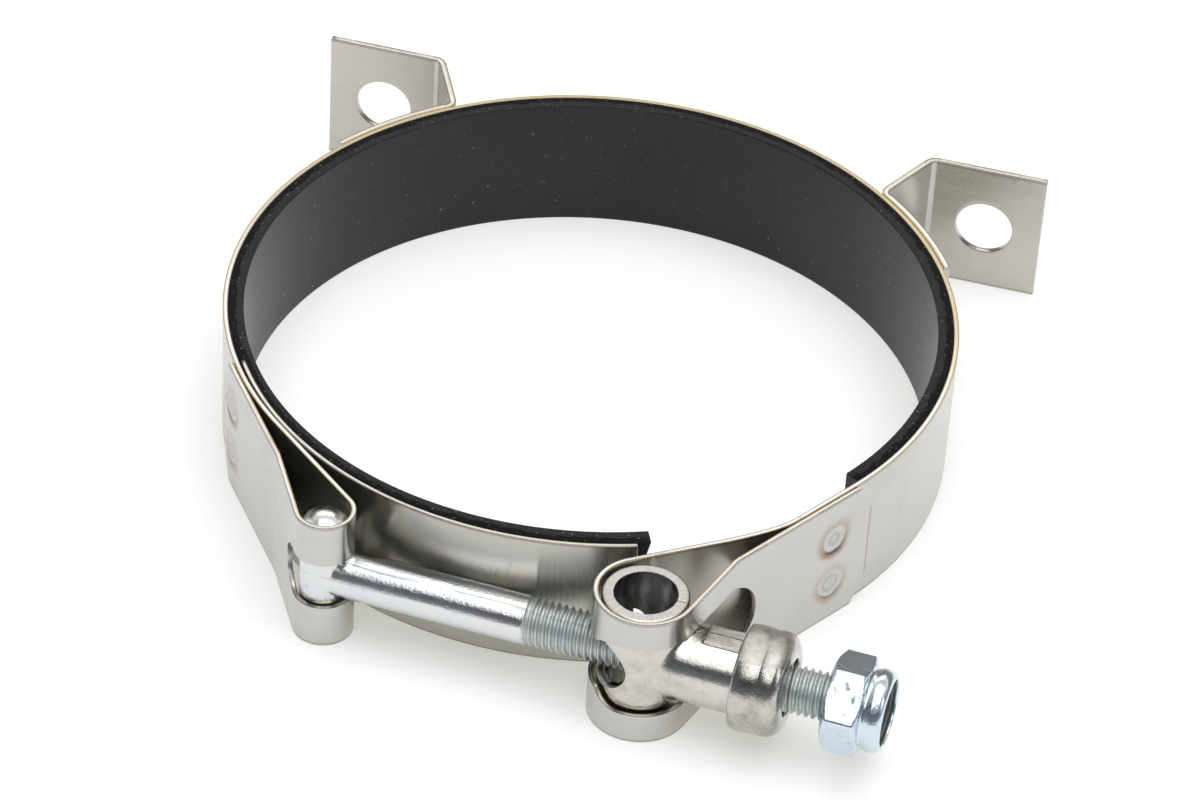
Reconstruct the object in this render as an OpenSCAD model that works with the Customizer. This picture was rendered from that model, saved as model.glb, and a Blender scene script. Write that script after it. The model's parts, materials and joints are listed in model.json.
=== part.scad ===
/* [Band] */
// Free bore inside the rubber liner
bore_d = 90.6; // [70:0.1:140]
// Width of the strip, which is the height of the ring
band_w = 19.05; // [15:0.05:26]
// Thickness of the strip
band_t = 0.64; // [0.5:0.02:1]
// Hairline left between the strip and a flap welded on it
flap_gap = 0.08; // [0.04:0.01:0.2]
// How far the right end stands off the tongue that slides under it
lead_gap = 0.65; // [0.3:0.05:1.2]
// Bend radius of the joggle that lifts the right end
joggle_r = 10; // [6:0.5:16]
// Bend radius where a flap turns towards its loop
pinch_r = 3; // [2:0.1:5]
// Angle at which the left flap leaves the ring
left_flap_ang = 217; // [210:0.5:222]
// Angle at which the right flap leaves the ring
right_flap_ang = -31; // [-38:0.5:-26]
// Distance along the ring from the left flap's bend to its loop's axis
left_leg = 10.4; // [8:0.1:13]
// Distance along the ring from the right flap's bend to its loop's axis
right_leg = 10.1; // [8.5:0.1:13]
// Angle that the left flap lies on the ring past that point
left_tail = 6.5; // [4:0.1:10]
// Angle that the right flap lies on the ring past that point
right_tail = 3.4; // [3.2:0.1:6]
// Length of the bevel on the corners of a flap's end
bevel_l = 2.4; // [1:0.1:4]
// Height of the bevel on the corners of a flap's end
bevel_h = 4.4; // [2:0.1:6]
// Diameter of a spot weld
weld_d = 4.2; // [3:0.1:5]
// Distance between the two spot welds of a flap
weld_step = 7.2; // [5.4:0.1:9]
// Distance of the left welds from where the flap leaves the ring, towards its end
left_weld = 1.7; // [1:0.1:2.4]
// Distance of the right welds from where the flap leaves the ring, towards its loop
right_weld = 3.7; // [2:0.1:5]

/* [Liner and tongue] */
// Thickness of the rubber
liner_t = 2.1; // [1.5:0.1:3]
// Thickness of the tongue
tongue_t = 0.64; // [0.4:0.02:0.8]
// Clearance over the tongue under the right end
tongue_clear = 0.36; // [0.25:0.01:0.5]
// Angle where the tongue starts
tongue_a0 = 212; // [208:0.5:216]
// Angle where the tongue ends
tongue_a1 = 292; // [284:0.5:294]
// Angle from where the right flap leaves the ring back to the rubber's end
liner_back = 1.5; // [0:0.1:5]
// Angle that the rubber runs past the tongue's end
liner_over = 2.6; // [0.5:0.1:5]
// How much further that end of the rubber runs at its top than at its bottom
liner_slant = 4.5; // [0:0.1:6]

/* [Loops] */
// Angle of the bolt head's axis about the ring
head_ang = 248.2; // [244:0.1:252]
// How far the left loop stands off the ring
head_lift = 2.85; // [2.2:0.05:4.5]
// Play of the bolt head in the left loop
head_play = 0.15; // [0.1:0.05:0.5]
// Clearance of the bolt in the left loop's slot
slot_clear = 0.7; // [0.4:0.1:2.5]
// Angle of the trunnion's axis about the ring
pivot_ang = -67.6; // [-70:0.1:-62]
// How far the right loop stands off the ring
pivot_lift = 1.4; // [0.9:0.1:2.5]
// Play of the trunnion in the right loop
pivot_play = 0.35; // [0.2:0.05:0.6]
// Clearance of the neck in the wide part of the right loop's slot
neck_slot_clear = 0.7; // [0.6:0.1:2]
// Clearance of the bolt in the narrow part of that slot
bolt_slot_clear = 1.2; // [0.8:0.1:2]
// Angle round the trunnion from its neck back to where that slot narrows
keyhole_ang = 100; // [90:1:120]

/* [Bolt] */
// Diameter of shank and head
bolt_d = 6.2; // [5.8:0.05:6.3]
// Distance of the cross bar's ends from the strip's edges
head_in = 0.8; // [0.5:0.05:3]
// Distance from the head's axis to the start of the thread
shank_l = 26.5; // [20:0.5:32]
// Groove of the plain cylinder that stands for the thread
thread_in = 0.06; // [0.02:0.01:0.12]
// Depth of the bolt's end inside the nut
end_in = 2.2; // [1:0.1:3]

/* [Trunnion] */
// How much wider the barrel is than the neck
barrel_over = 0.9; // [0.3:0.1:2]
// Sheet that the barrel and the neck are folded from
sheet_t = 1.5; // [1.2:0.1:1.6]
// Distance of the barrel's ends from the strip's edges
barrel_in = 0.3; // [0.1:0.05:0.8]
// Wall of the neck
neck_wall = 1.3; // [1:0.05:1.6]
// Clearance of the bolt in the neck and the cap
bolt_clear = 1.2; // [1.1:0.05:1.6]
// Distance from the right loop to the cap
neck_out = 6.36; // [4.5:0.02:9]
// Distance from the right loop to where the seam web rises above the slot
web_out = 1.56; // [1.2:0.02:2.6]
// How far the seam web stands above the neck
web_up = 0.6; // [0.3:0.05:0.9]
// Gap between the seam web and the slot's edges
web_gap = 0.3; // [0.2:0.05:0.5]
// Slit between the two folded flanks
slit = 0.12; // [0.06:0.01:0.2]
// Clearance of the bolt in the opening where it enters, up and down
entry_clear = 0.7; // [0.5:0.1:1.1]
// Angle round the barrel from that opening's middle to the centre of a round end
entry_ang = 47; // [20:1:55]

/* [Cap] */
// Wall of the cap round the neck
cap_wall = 1.68; // [1.3:0.02:2.2]
// Length of the cap
cap_l = 6.3; // [5.5:0.1:8]
// Thickness of the cap's end
cap_end = 1.4; // [1:0.1:1.8]
// Radius of the rounded rim
cap_round = 2; // [1:0.1:2.4]
// Length of the skirt up to the shallow step
skirt_l = 3.2; // [2.5:0.1:4.2]
// Depth of that step
skirt_step = 0.12; // [0.05:0.01:0.2]

/* [Nut] */
// Gap between the cap and the nut
nut_gap = 5.1; // [3:0.1:8]
// How much the hexagon is wider than the collar
hex_over = 0.61; // [0.3:0.01:1.2]
// Height of the hexagon
hex_h = 4.7; // [4:0.1:6]
// Clearance of the bolt in the bores of the nut and the nylon ring
thread_play = 0.1; // [0.1:0.01:0.3]
// Wall of the nylon ring
insert_wall = 1.25; // [1:0.05:1.5]
// Height of the nylon ring
insert_h = 1.9; // [1.4:0.1:2.4]
// Steel under the nylon ring, above the hexagon
insert_floor = 0.2; // [0.1:0.05:0.5]
// Wall of the collar round the nylon ring
collar_wall = 0.83; // [0.7:0.01:1.2]
// Thickness of the crimped lip over the nylon ring
lip_t = 0.6; // [0.4:0.05:0.9]
// How far that lip reaches over the nylon ring
lip_in = 0.2; // [0.1:0.05:0.6]
// Turn of the hexagon about the bolt
nut_turn = 45; // [0:1:60]

/* [Tabs] */
// Thickness of the tab's sheet
tab_t = 0.95; // [0.7:0.05:1.4]
// Angle where a tab's foot starts on the ring
foot_a0 = 29.5; // [24:0.5:34]
// Angle where a tab's foot bends off the ring
foot_a1 = 50; // [46:0.5:54]
// Inner radius of the bend at the foot
foot_r = 0.9; // [0.4:0.05:1.6]
// Inner radius of the bend at the plate
plate_r = 1.1; // [0.6:0.1:2]
// Sideways distance between the two bends
leg_out = 4; // [3:0.1:9]
// Distance from the plate's bend to its hole
hole_out = 7.2; // [6:0.1:14]
// Distance from the hole to the tab's end
hole_edge = 7.9; // [6:0.1:14]
// Diameter of a tab's hole
hole_d = 7.94; // [5:0.02:9]

/* [Hidden] */
$fn = 96;
fit = 0.02;
// Neighbouring stretches differ by this and overlap a little, so that they join into one solid
skin = 0.024;
lap = 0.12;
steel = [0.80, 0.80, 0.78];
bright = [0.86, 0.86, 0.85];
zinc = [0.78, 0.80, 0.82];
mid = band_w / 2;
ring_r = bore_d / 2 + liner_t;
back_y = ring_r + band_t;
foot_at = back_y + fit + tab_t / 2;
plate_x = (foot_at + tab_t / 2 + foot_r) * cos(foot_a1) + leg_out;
hole_x = plate_x + hole_out;
tab_end = hole_x + hole_edge;
main_r = ring_r + band_t / 2;
flap_r = main_r + band_t + flap_gap;
lead_r = main_r + tongue_t + lead_gap;
bolt_r = bolt_d / 2;
head_l = band_w - 2 * head_in;
head_slot = bolt_d + slot_clear;
neck_bore = bolt_d + bolt_clear;
neck_r = neck_bore / 2 + neck_wall;
pivot_slot = 2 * neck_r + neck_slot_clear;
narrow_slot = bolt_d + bolt_slot_clear;
barrel_r = neck_r + barrel_over / 2;
entry_h = bolt_d + entry_clear;
cap_r = neck_r + fit + cap_wall;
nut_bore = bolt_d + thread_play;
insert_d = nut_bore + 2 * insert_wall;
collar_r = insert_d / 2 + fit + collar_wall;
nut_af = 2 * collar_r + hex_over;
insert_at = hex_h + insert_floor;
lip_at = insert_at + insert_h;
nut_h = lip_at + lip_t;
head_loop = bolt_r + head_play + band_t / 2;
pivot_loop = barrel_r + pivot_play + band_t / 2;
head_at = (main_r + head_loop + head_lift) * dir(head_ang);
pivot_at = (lead_r + pivot_loop + pivot_lift) * dir(pivot_ang);
loop_front = pivot_loop + band_t / 2;
neck_l = loop_front + neck_out;
web_from = loop_front + web_out;
reach = norm(pivot_at - head_at);
bolt_ang = atan2(pivot_at[1] - head_at[1], pivot_at[0] - head_at[0]);
cap_out = neck_l + cap_l;
nut_on = cap_out + nut_gap;
bolt_l = reach + nut_on + nut_h - end_in;
lead_ang = right_flap_ang - acos((main_r - joggle_r) / (lead_r - joggle_r));
left_run = flap_r * (head_ang - left_flap_ang) / 57.2958 - left_leg;
right_run = flap_r * (right_flap_ang - pivot_ang) / 57.2958 - right_leg;
ring_end = head_ang - acos((main_r + head_loop) / (main_r + head_loop + head_lift));
tongue_c = (tongue_t + lead_gap - tongue_clear) * dir(ring_end + 89.6);
liner_a0 = right_flap_ang + liner_back;
liner_a1 = tongue_a1 + liner_over;
tongue_out = ring_r - fit;
tongue_in = tongue_out - tongue_t;

// The strip runs like a belt round these rollers: centre, radius, turning sense.
rollers = [
    [[0, 0], flap_r, 1],
    [flap_r * dir(left_flap_ang) + left_run * dir(left_flap_ang + 90) + pinch_r * dir(left_flap_ang), pinch_r, -1],
    [head_at, head_loop, 1],
    [[0, 0], main_r, -1],
    [(lead_r - joggle_r) * dir(lead_ang), joggle_r, -1],
    [[0, 0], lead_r, -1],
    [pivot_at, pivot_loop, 1],
    [flap_r * dir(right_flap_ang) + right_run * dir(right_flap_ang - 90) + pinch_r * dir(right_flap_ang), pinch_r, -1],
    [[0, 0], flap_r, 1]
];
last = len(rollers) - 1;
joggle = 4;

function dir(a) = [cos(a), sin(a)];
function whole(a) = a - 360 * floor(a / 360);
function limit(x) = max(-1, min(1, x));
// Heading of the strip on the straight from one roller to the next
function heading(p, q) =
    atan2(q[0][1] - p[0][1], q[0][0] - p[0][0])
    + asin(limit((p[2] * p[1] - q[2] * q[1]) / norm(q[0] - p[0])));
// Point of a roller where the strip has a given heading
function on(p, h) = p[0] + p[2] * p[1] * [sin(h), -cos(h)];
function heading_in(i) =
    i == 0 ? left_flap_ang - left_tail + 90 : heading(rollers[i - 1], rollers[i]);
function heading_out(i) =
    i == last ? right_flap_ang + right_tail + 90 : heading(rollers[i], rollers[i + 1]);

// Upright strip along an arc, overlong at both edges by a rank that its neighbours don't have
module arc(c, r, a0, sweep, t, rank) {
    translate([c[0], c[1], -rank])
        rotate([0, 0, a0])
            rotate_extrude(angle = sweep)
                translate([r - t / 2, 0])
                    square([t, band_w + 2 * rank]);
}

// The same, lapping a little over its neighbours
module lapped_arc(c, r, a0, sweep, t, rank) {
    more = lap / r * 57.3;
    arc(c, r, a0 - more, sweep + 2 * more, t, rank);
}

// Upright strip along a straight, lapping over its neighbours
module straight(a, b, t, rank) {
    d = b - a;
    translate([a[0], a[1], -rank])
        rotate([0, 0, atan2(d[1], d[0])])
            translate([-lap, -t / 2, 0])
                cube([norm(d) + 2 * lap, t, band_w + 2 * rank]);
}

// Cut to the strip's width
module trimmed() {
    intersection() {
        union()
            children();
        translate([-2 * ring_r, -2 * ring_r, 0])
            cube([4 * ring_r, 4 * ring_r, band_w]);
    }
}

// Strip on one roller, and the straight that leads to the next
module stretch(i) {
    p = rollers[i];
    h0 = heading_in(i);
    h1 = heading_out(i);
    sweep = whole(p[2] * (h1 - h0));
    thin = i == joggle ? skin : 0;
    if (sweep < 359.9 && sweep > 0.01)
        lapped_arc(p[0], p[1], p[2] > 0 ? h0 - 90 : h1 + 90, sweep, band_t - thin, i == joggle ? 2 : 1);
    if (i < last && norm(on(rollers[i + 1], h1) - on(p, h1)) > 0.01)
        straight(on(p, h1), on(rollers[i + 1], h1), band_t - 2 * skin, 3);
}

// Frame on a straight of the strip: x along it, y across, z up from mid height
module on_strip(at, h) {
    translate([at[0], at[1], mid])
        rotate([0, 0, h])
            children();
}

// Bevel on both corners of a flap's end, which lies towards +x
module end_bevels() {
    over = bevel_l / bevel_h;
    for (side = [-1, 1])
        rotate([90, 0, 0])
            linear_extrude(height = 2 * flap_gap + 1.1 * band_t, center = true)
                polygon([[-bevel_l - over, side * (mid + 1)], [0, side * (mid - bevel_h)],
                    [1, side * (mid - bevel_h)], [1, side * (mid + 1)]]);
}

// Slot with one round end at the frame's origin, running towards +x, cut to a depth towards +y
module slot_end(h, l, depth = 1.5) {
    rotate([90, 0, 0]) {
        translate([0, 0, -depth])
            cylinder(h = depth + 1.5, d = h);
        translate([0, -h / 2, -depth])
            cube([l, h, depth + 1.5]);
    }
}

// Frame of the two spot welds of a flap: x out of the ring, y along it
module at_welds(ang, along) {
    for (s = [-1, 1])
        rotate([0, 0, ang])
            translate([0, along, mid + s * weld_step / 2])
                rotate([0, 90, 0])
                    children();
}

// Nugget that joins a flap to the ring
module nuggets() {
    translate([0, 0, main_r])
        cylinder(h = flap_r - main_r, d = weld_d * 0.7);
}

// Shallow mark on a flap's outside
module weld_marks() {
    translate([0, 0, flap_r + band_t / 2 - 0.07])
        cylinder(h = 1, d = weld_d);
}

module band() {
    left_end = left_flap_ang - left_tail;
    right_end = right_flap_ang + right_tail;
    left_weld_ang = left_flap_ang - left_weld / flap_r * 57.3;
    color(steel)
        difference() {
            union() {
                trimmed()
                    for (i = [0:last])
                        stretch(i);
                at_welds(left_weld_ang, 0)
                    nuggets();
                at_welds(right_flap_ang, -right_weld)
                    nuggets();
            }
            on_strip(flap_r * dir(left_end), left_end - 90)
                end_bevels();
            on_strip(flap_r * dir(right_end), right_end + 90)
                end_bevels();
            left_slot();
            right_slot();
            at_welds(left_weld_ang, 0)
                weld_marks();
            at_welds(right_flap_ang, -right_weld)
                weld_marks();
        }
}

// Plan of a loop that a slot crosses, as a wedge from its axis
module loop_cut(at, r, a0, a1, h) {
    translate([at[0], at[1], mid])
        rotate([0, 0, a0])
            rotate_extrude(angle = whole(a1 - a0))
                translate([r - 1.2, skin - h / 2])
                    square([2.4, h - 2 * skin]);
}

module left_slot() {
    h_in = heading(rollers[1], rollers[2]);
    h_out = heading(rollers[2], rollers[3]);
    loop_cut(head_at, head_loop, h_in - 95, h_out - 90, head_slot);
    on_strip(on(rollers[2], h_in - 5), h_in - 5)
        slot_end(head_slot, 0.4);
    on_strip(on(rollers[2], h_out), h_out + 180)
        slot_end(head_slot, 0.4);
}

// Keyhole: narrow where the bolt enters, wide where the neck comes out
module right_slot() {
    h_in = heading(rollers[5], rollers[6]);
    h_out = heading(rollers[6], rollers[7]);
    a = on(rollers[6], h_out);
    b = on(rollers[7], h_out);
    wide_h = bolt_ang - keyhole_ang + 90;
    loop_cut(pivot_at, pivot_loop, h_in - 90, wide_h - 85, narrow_slot);
    loop_cut(pivot_at, pivot_loop, wide_h - 90, h_out - 90, pivot_slot);
    on_strip(on(rollers[6], h_in), h_in)
        slot_end(narrow_slot, 0.4);
    on_strip(on(rollers[6], wide_h), wide_h)
        slot_end(pivot_slot, 0.4, pivot_loop - 2);
    on_strip(b - 1.1 * dir(h_out), h_out + 180)
        slot_end(pivot_slot, norm(b - a) - 0.9);
}

module tongue() {
    color(steel)
        arc(tongue_c, (tongue_in + tongue_out) / 2, tongue_a0, tongue_a1 - tongue_a0, tongue_t, 0);
}

module liner() {
    split = tongue_a0 - 1.2;
    color([0.13, 0.13, 0.14])
        trimmed() {
            arc([0, 0], ring_r - liner_t / 2, liner_a0, split - liner_a0, liner_t, 1);
            difference() {
                arc(tongue_c, tongue_in - liner_t / 2 - 0.4, split - 2, liner_a1 - split + 2, liner_t + 0.8, 2);
                translate([0, 0, -3])
                    cylinder(h = band_w + 6, r = bore_d / 2 + skin);
                on_strip(ring_r * dir(liner_a1), liner_a1 + 90)
                    rotate([0, atan(liner_slant / band_w), 0])
                        translate([-liner_slant / 2 - lap, -3 * liner_t, -band_w])
                            cube([liner_slant + liner_t, 6 * liner_t, 2 * band_w]);
            }
        }
}

// Tab on the right, bent from one strip
module tab() {
    foot = [[0, 0], foot_at, 1];
    low_r = foot_r + tab_t / 2;
    top_r = plate_r + tab_t / 2;
    low = [(foot[1] + low_r) * dir(foot_a1), low_r, -1];
    top = [[plate_x, back_y - tab_t / 2 - top_r], top_r, -1];
    leg_h = heading(low, top);
    difference() {
        trimmed() {
            arc(foot[0], foot[1], foot_a0, foot_a1 - foot_a0, tab_t, 1);
            lapped_arc(low[0], low[1], leg_h + 90, foot_a1 + 90 - leg_h, tab_t - skin, 2);
            straight(on(low, leg_h), on(top, leg_h), tab_t - 2 * skin, 3);
            lapped_arc(top[0], top[1], 90, leg_h, tab_t - skin, 2);
            translate([plate_x, back_y - tab_t, -1])
                cube([tab_end - plate_x, tab_t, band_w + 2]);
        }
        translate([hole_x, back_y - 2 * tab_t, mid])
            rotate([-90, 0, 0])
                cylinder(h = 3 * tab_t, d = hole_d);
    }
}

module right_tab() {
    color(steel)
        tab();
}

module left_tab() {
    color(steel)
        mirror([1, 0, 0])
            tab();
}

// Frame of the bolt: x along its axis from the head
module along_bolt() {
    translate([head_at[0], head_at[1], mid])
        rotate([0, 0, bolt_ang])
            children();
}

module t_bolt() {
    thread_r = bolt_r - thread_in;
    end = head_l / 2;
    color(zinc)
        along_bolt() {
            for (s = [-1, 1])
                scale([1, 1, s])
                    rotate_extrude()
                        polygon([[0, 0], [bolt_r, 0], [bolt_r, end - 1.7], [bolt_r * 0.95, end - 1.2],
                            [bolt_r * 0.81, end - 0.78], [bolt_r * 0.62, end - 0.55], [bolt_r * 0.47, end - 0.24],
                            [bolt_r * 0.2, end], [0, end]]);
            rotate([0, 90, 0])
                rotate_extrude()
                    polygon([[0, 0], [bolt_r, 0], [bolt_r, shank_l - 0.1], [thread_r, shank_l + 0.1],
                        [thread_r, bolt_l - 0.6], [thread_r - 0.6, bolt_l], [0, bolt_l]]);
        }
}

// Frame of the trunnion: x along the neck from the barrel's axis
module along_neck() {
    translate([pivot_at[0], pivot_at[1], mid])
        rotate([0, 0, bolt_ang])
            children();
}

// Concave corner between the barrel and the seam web
module web_fillet(r) {
    yf = sheet_t + r;
    xf = sqrt(pow(barrel_r + r, 2) - yf * yf);
    k = barrel_r / (barrel_r + r);
    for (s = [-1, 1])
        scale([1, s, 1])
            difference() {
                polygon([[barrel_r * 0.6, 0], [xf * k, yf * k], [xf, yf], [xf, 0]]);
                translate([xf, yf])
                    circle(r = r);
            }
}

module trunnion() {
    barrel_h = band_w - 2 * barrel_in;
    round_r = 1.2;
    top = neck_r + web_up;
    low = pivot_slot / 2 - web_gap;
    color(bright)
        along_neck()
            difference() {
                union() {
                    cylinder(h = barrel_h, r = barrel_r, center = true);
                    rotate([0, 90, 0])
                        cylinder(h = cap_out - cap_end - fit, r = neck_r);
                    translate([web_from, -sheet_t, -top])
                        cube([neck_l - fit - web_from, 2 * sheet_t, 2 * top]);
                    translate([0, -sheet_t, -low])
                        cube([web_from + 0.5, 2 * sheet_t, 2 * low]);
                    translate([0, 0, -low])
                        linear_extrude(height = 2 * low)
                            web_fillet(round_r);
                }
                cylinder(h = band_w, r = barrel_r - sheet_t, center = true);
                rotate([0, 90, 0])
                    cylinder(h = cap_out, d = neck_bore);
                entry();
                translate([0, -slit / 2, -mid])
                    cube([cap_out, slit, band_w]);
            }
}

// Long hole for the bolt round the barrel's back, with round ends
module entry() {
    rotate([0, 0, 180 - entry_ang])
        rotate_extrude(angle = 2 * entry_ang)
            translate([barrel_r - 2 * sheet_t, skin - entry_h / 2])
                square([3 * sheet_t, entry_h - 2 * skin]);
    for (s = [-1, 1])
        rotate([0, 0, 180 + s * entry_ang])
            rotate([0, 90, 0])
                cylinder(h = barrel_r + sheet_t, d = entry_h);
}

module trunnion_cap() {
    color(bright)
        along_neck()
            rotate([0, 90, 0])
                translate([0, 0, neck_l])
                    difference() {
                        union() {
                            cylinder(h = skirt_l, r = cap_r);
                            cylinder(h = cap_l - cap_round, r = cap_r - skirt_step);
                            cylinder(h = cap_l, r = cap_r - skirt_step - cap_round);
                            translate([0, 0, cap_l - cap_round])
                                rotate_extrude()
                                    translate([cap_r - skirt_step - cap_round, 0])
                                        intersection() {
                                            circle(r = cap_round);
                                            square(cap_round);
                                        }
                        }
                        translate([0, 0, -1])
                            cylinder(h = cap_l - cap_end + 1, r = neck_r + fit);
                        cylinder(h = cap_l + 1, d = neck_bore);
                    }
}

// Frame of the nut: z along the bolt from the face towards the cap
module at_nut() {
    along_bolt()
        translate([reach + nut_on, 0, 0])
            rotate([0, 90, 0])
                children();
}

module lock_nut() {
    corner = nut_af / sqrt(3);
    color(zinc)
        at_nut()
            difference() {
                union() {
                    intersection() {
                        rotate([0, 0, nut_turn + 30])
                            linear_extrude(height = hex_h + 0.4)
                                polygon([for (i = [0:5]) corner * dir(60 * i)]);
                        rotate_extrude()
                            polygon([[0, 0], [nut_af / 2 - 0.2, 0], [corner + 0.1, 0.7], [corner + 0.1, hex_h - 0.6],
                                [nut_af / 2 - 0.3, hex_h + 0.1], [0, hex_h + 0.1]]);
                    }
                    rotate_extrude()
                        polygon([[0, 0.5], [collar_r, 0.5], [collar_r, nut_h - 0.8], [collar_r - 0.2, nut_h - 0.3],
                            [collar_r - 0.65, nut_h], [0, nut_h]]);
                }
                translate([0, 0, -1])
                    cylinder(h = nut_h + 2, d = nut_bore);
                translate([0, 0, insert_at])
                    cylinder(h = insert_h + fit, r = insert_d / 2 + fit);
                translate([0, 0, lip_at - 0.1])
                    cylinder(h = lip_t + 1, d = insert_d - 2 * lip_in);
                translate([0, 0, -0.01])
                    cylinder(h = 0.5, d1 = nut_bore + 1, d2 = nut_bore);
            }
}

module nylon_insert() {
    color([0.16, 0.16, 0.17])
        at_nut()
            translate([0, 0, insert_at + fit])
                difference() {
                    cylinder(h = insert_h - fit, d = insert_d);
                    translate([0, 0, -1])
                        cylinder(h = insert_h + 2, d = nut_bore);
                }
}

band();
tongue();
liner();
left_tab();
right_tab();
t_bolt();
trunnion();
trunnion_cap();
lock_nut();
nylon_insert();
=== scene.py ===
"""Looks of the t bolt clamp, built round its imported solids.

Sizes are in millimetres, as in the part's source, and meshes are made in metres.
"""

import json
import math
from collections import namedtuple

import bmesh
import bpy
import numpy as np
from mathutils import Matrix, Vector

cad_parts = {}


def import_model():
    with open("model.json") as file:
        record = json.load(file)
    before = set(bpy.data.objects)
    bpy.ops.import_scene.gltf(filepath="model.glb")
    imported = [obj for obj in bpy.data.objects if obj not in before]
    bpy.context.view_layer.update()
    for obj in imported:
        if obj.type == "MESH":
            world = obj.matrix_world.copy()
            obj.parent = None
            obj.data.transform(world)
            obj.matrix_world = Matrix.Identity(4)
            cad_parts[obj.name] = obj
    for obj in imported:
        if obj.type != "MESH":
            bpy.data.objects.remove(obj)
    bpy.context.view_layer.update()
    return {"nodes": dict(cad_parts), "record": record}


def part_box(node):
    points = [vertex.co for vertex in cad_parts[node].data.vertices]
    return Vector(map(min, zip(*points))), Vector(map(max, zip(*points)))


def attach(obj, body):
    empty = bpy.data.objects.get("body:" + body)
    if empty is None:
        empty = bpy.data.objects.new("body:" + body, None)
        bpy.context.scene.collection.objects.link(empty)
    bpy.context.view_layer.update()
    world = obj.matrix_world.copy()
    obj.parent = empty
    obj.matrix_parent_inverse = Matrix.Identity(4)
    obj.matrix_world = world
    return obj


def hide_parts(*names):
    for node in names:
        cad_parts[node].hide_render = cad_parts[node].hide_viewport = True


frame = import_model()
record = frame["record"]
scene = bpy.context.scene

MM = 0.001

# Sizes: those of the part's source, and those of details that are drawn here alone.


def named(rows, name):
    """The row of a record list that has this name."""
    return next(row for row in rows if row["name"] == name)


def plan(point):
    """A record's point in metres, as a plan point in millimetres."""
    return Vector((point[0], point[1])) / MM


JOINTS = record["behaviour"]["joints"]
MOUNTS = record["mounts"]
HEAD = plan(named(JOINTS, "t_bolt_swing")["pos_m"])
PIVOT = plan(named(JOINTS, "trunnion_pivot")["pos_m"])
NUT_FACE = plan(named(JOINTS, "nut_spin")["pos_m"])
BORE_R = named(MOUNTS, "bore")["dims"]["r_mm"]
HOLES = named(MOUNTS, "tab_holes")
HOLE_R = HOLES["dims"]["hole_r_mm"]
HOLE_X = HOLES["dims"]["spacing_x_mm"] / 2
BACK_Y = HOLES["pos_m"][1] / MM

# The strip, the play of fitted pieces and the rounding of edges.
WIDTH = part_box("band")[1].z / MM
MID = WIDTH / 2
BAND_T = 0.64
FIT = 0.02
EDGE = 0.15

# Tongue and liner.
LINER_T = 2.1
TONGUE_T = 0.64
TONGUE_CLEAR = 0.36
TONGUE_TURN = 89.6
TONGUE_A0 = 212
TONGUE_A1 = 292
LINER_BACK = 1.5
LINER_OVER = 2.6
LINER_SLANT = 4.5
LINER_RAMP = 3.0
LINER_EDGE = 0.16
ARC_STEP = 1.5

# The band's folded ends: gaps, bends, legs, flaps with their bevels, and welds.
FLAP_GAP = 0.08
LEAD_GAP = 0.65
JOGGLE_R = 10
PINCH_R = 3
LEFT_FLAP_ANG = 217
RIGHT_FLAP_ANG = -31
LEFT_LEG = 10.4
RIGHT_LEG = 10.1
LEFT_TAIL = 6.5
RIGHT_TAIL = 3.4
BEVEL_L = 2.4
BEVEL_H = 4.4
WELD_D = 4.2
WELD_STEP = 7.2
LEFT_WELD = 1.7
RIGHT_WELD = 3.7
WELD_DISH = 0.085
WELD_RIM = 0.035
WELD_RING = 0.03
WELD_ZONE = 3.2
WELD_GRID = 0.2

# Loops and slots.
HEAD_PLAY = 0.15
HEAD_SLOT = 6.9
HEAD_SLOT_LEAD = 5
PIVOT_PLAY = 0.35
PIVOT_SLOT = 10.7
PIVOT_SLOT_END = 1.1
NARROW_SLOT = 7.4
KEYHOLE_ANG = 100

# Trunnion: barrel, neck, web, the soft corner between them, the seam and the hole for the bolt.
BARREL_R = 5.45
BARREL_IN = 0.3
SHEET_T = 1.5
NECK_R = 5.0
NECK_BORE_R = 3.7
NECK_END = 17.68
NECK_PAST = 19
WEB_FROM = 8.0
WEB_UP = 0.6
WEB_GAP = 0.3
SKIN_VOXEL = 0.14
EASE_STEP = 0.6
CORNER_REACH = 2.4
CORNER_FROM = 0.12
CORNER_TO = 1.5
CORNER_IN = 0.3
CORNER_GAP = 0.18
CORNER_FLARE = 4
SLIT = 0.12
ENTRY_H = 6.9
ENTRY_ANG = 47
TRUNNION_STEPS = 96

# Cap.
CAP_AT = 12.8
CAP_R = 6.7
CAP_L = 6.3
CAP_END = 1.4
CAP_WAIST = 3.15
CAP_ROUND = 2.0
CAP_SHOULDER = 0.06
CAP_STEPS = 120

# Bolt and thread.
BOLT_R = 3.1
HEAD_IN = 0.8
HEAD_L = WIDTH - 2 * HEAD_IN
SHANK_L = 26.5
PITCH = 0.907
END_IN = 2.2
THREAD_DEPTH = 0.46
THREAD_IN = 1.2
THREAD_OUT = 0.9
CREST_DOWN = 0.02
END_DOWN = 0.55
BOLT_STEPS = 56
SHANK_ROWS = 12
PITCH_ROWS = 9

# Lock nut and its seal.
NUT_H = 7.4
NUT_AF = 11.11
NUT_TURN = 15
NUT_ROUND = 0.6
NUT_BORE_R = 3.15
HEX_H = 4.7
SEAT_R = 4.42
SEAT_AT = 4.9
LIP_AT = 6.8
LIP_R = 4.2
SEAL_EDGE = 0.12

# Tabs.
TAB_T = 0.95
FOOT_A0 = 29.5
FOOT_A1 = 50
FOOT_R = 0.9
PLATE_R = 1.1
LEG_OUT = 4
HOLE_EDGE = 7.9
TAB_EDGE = 0.12

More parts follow.
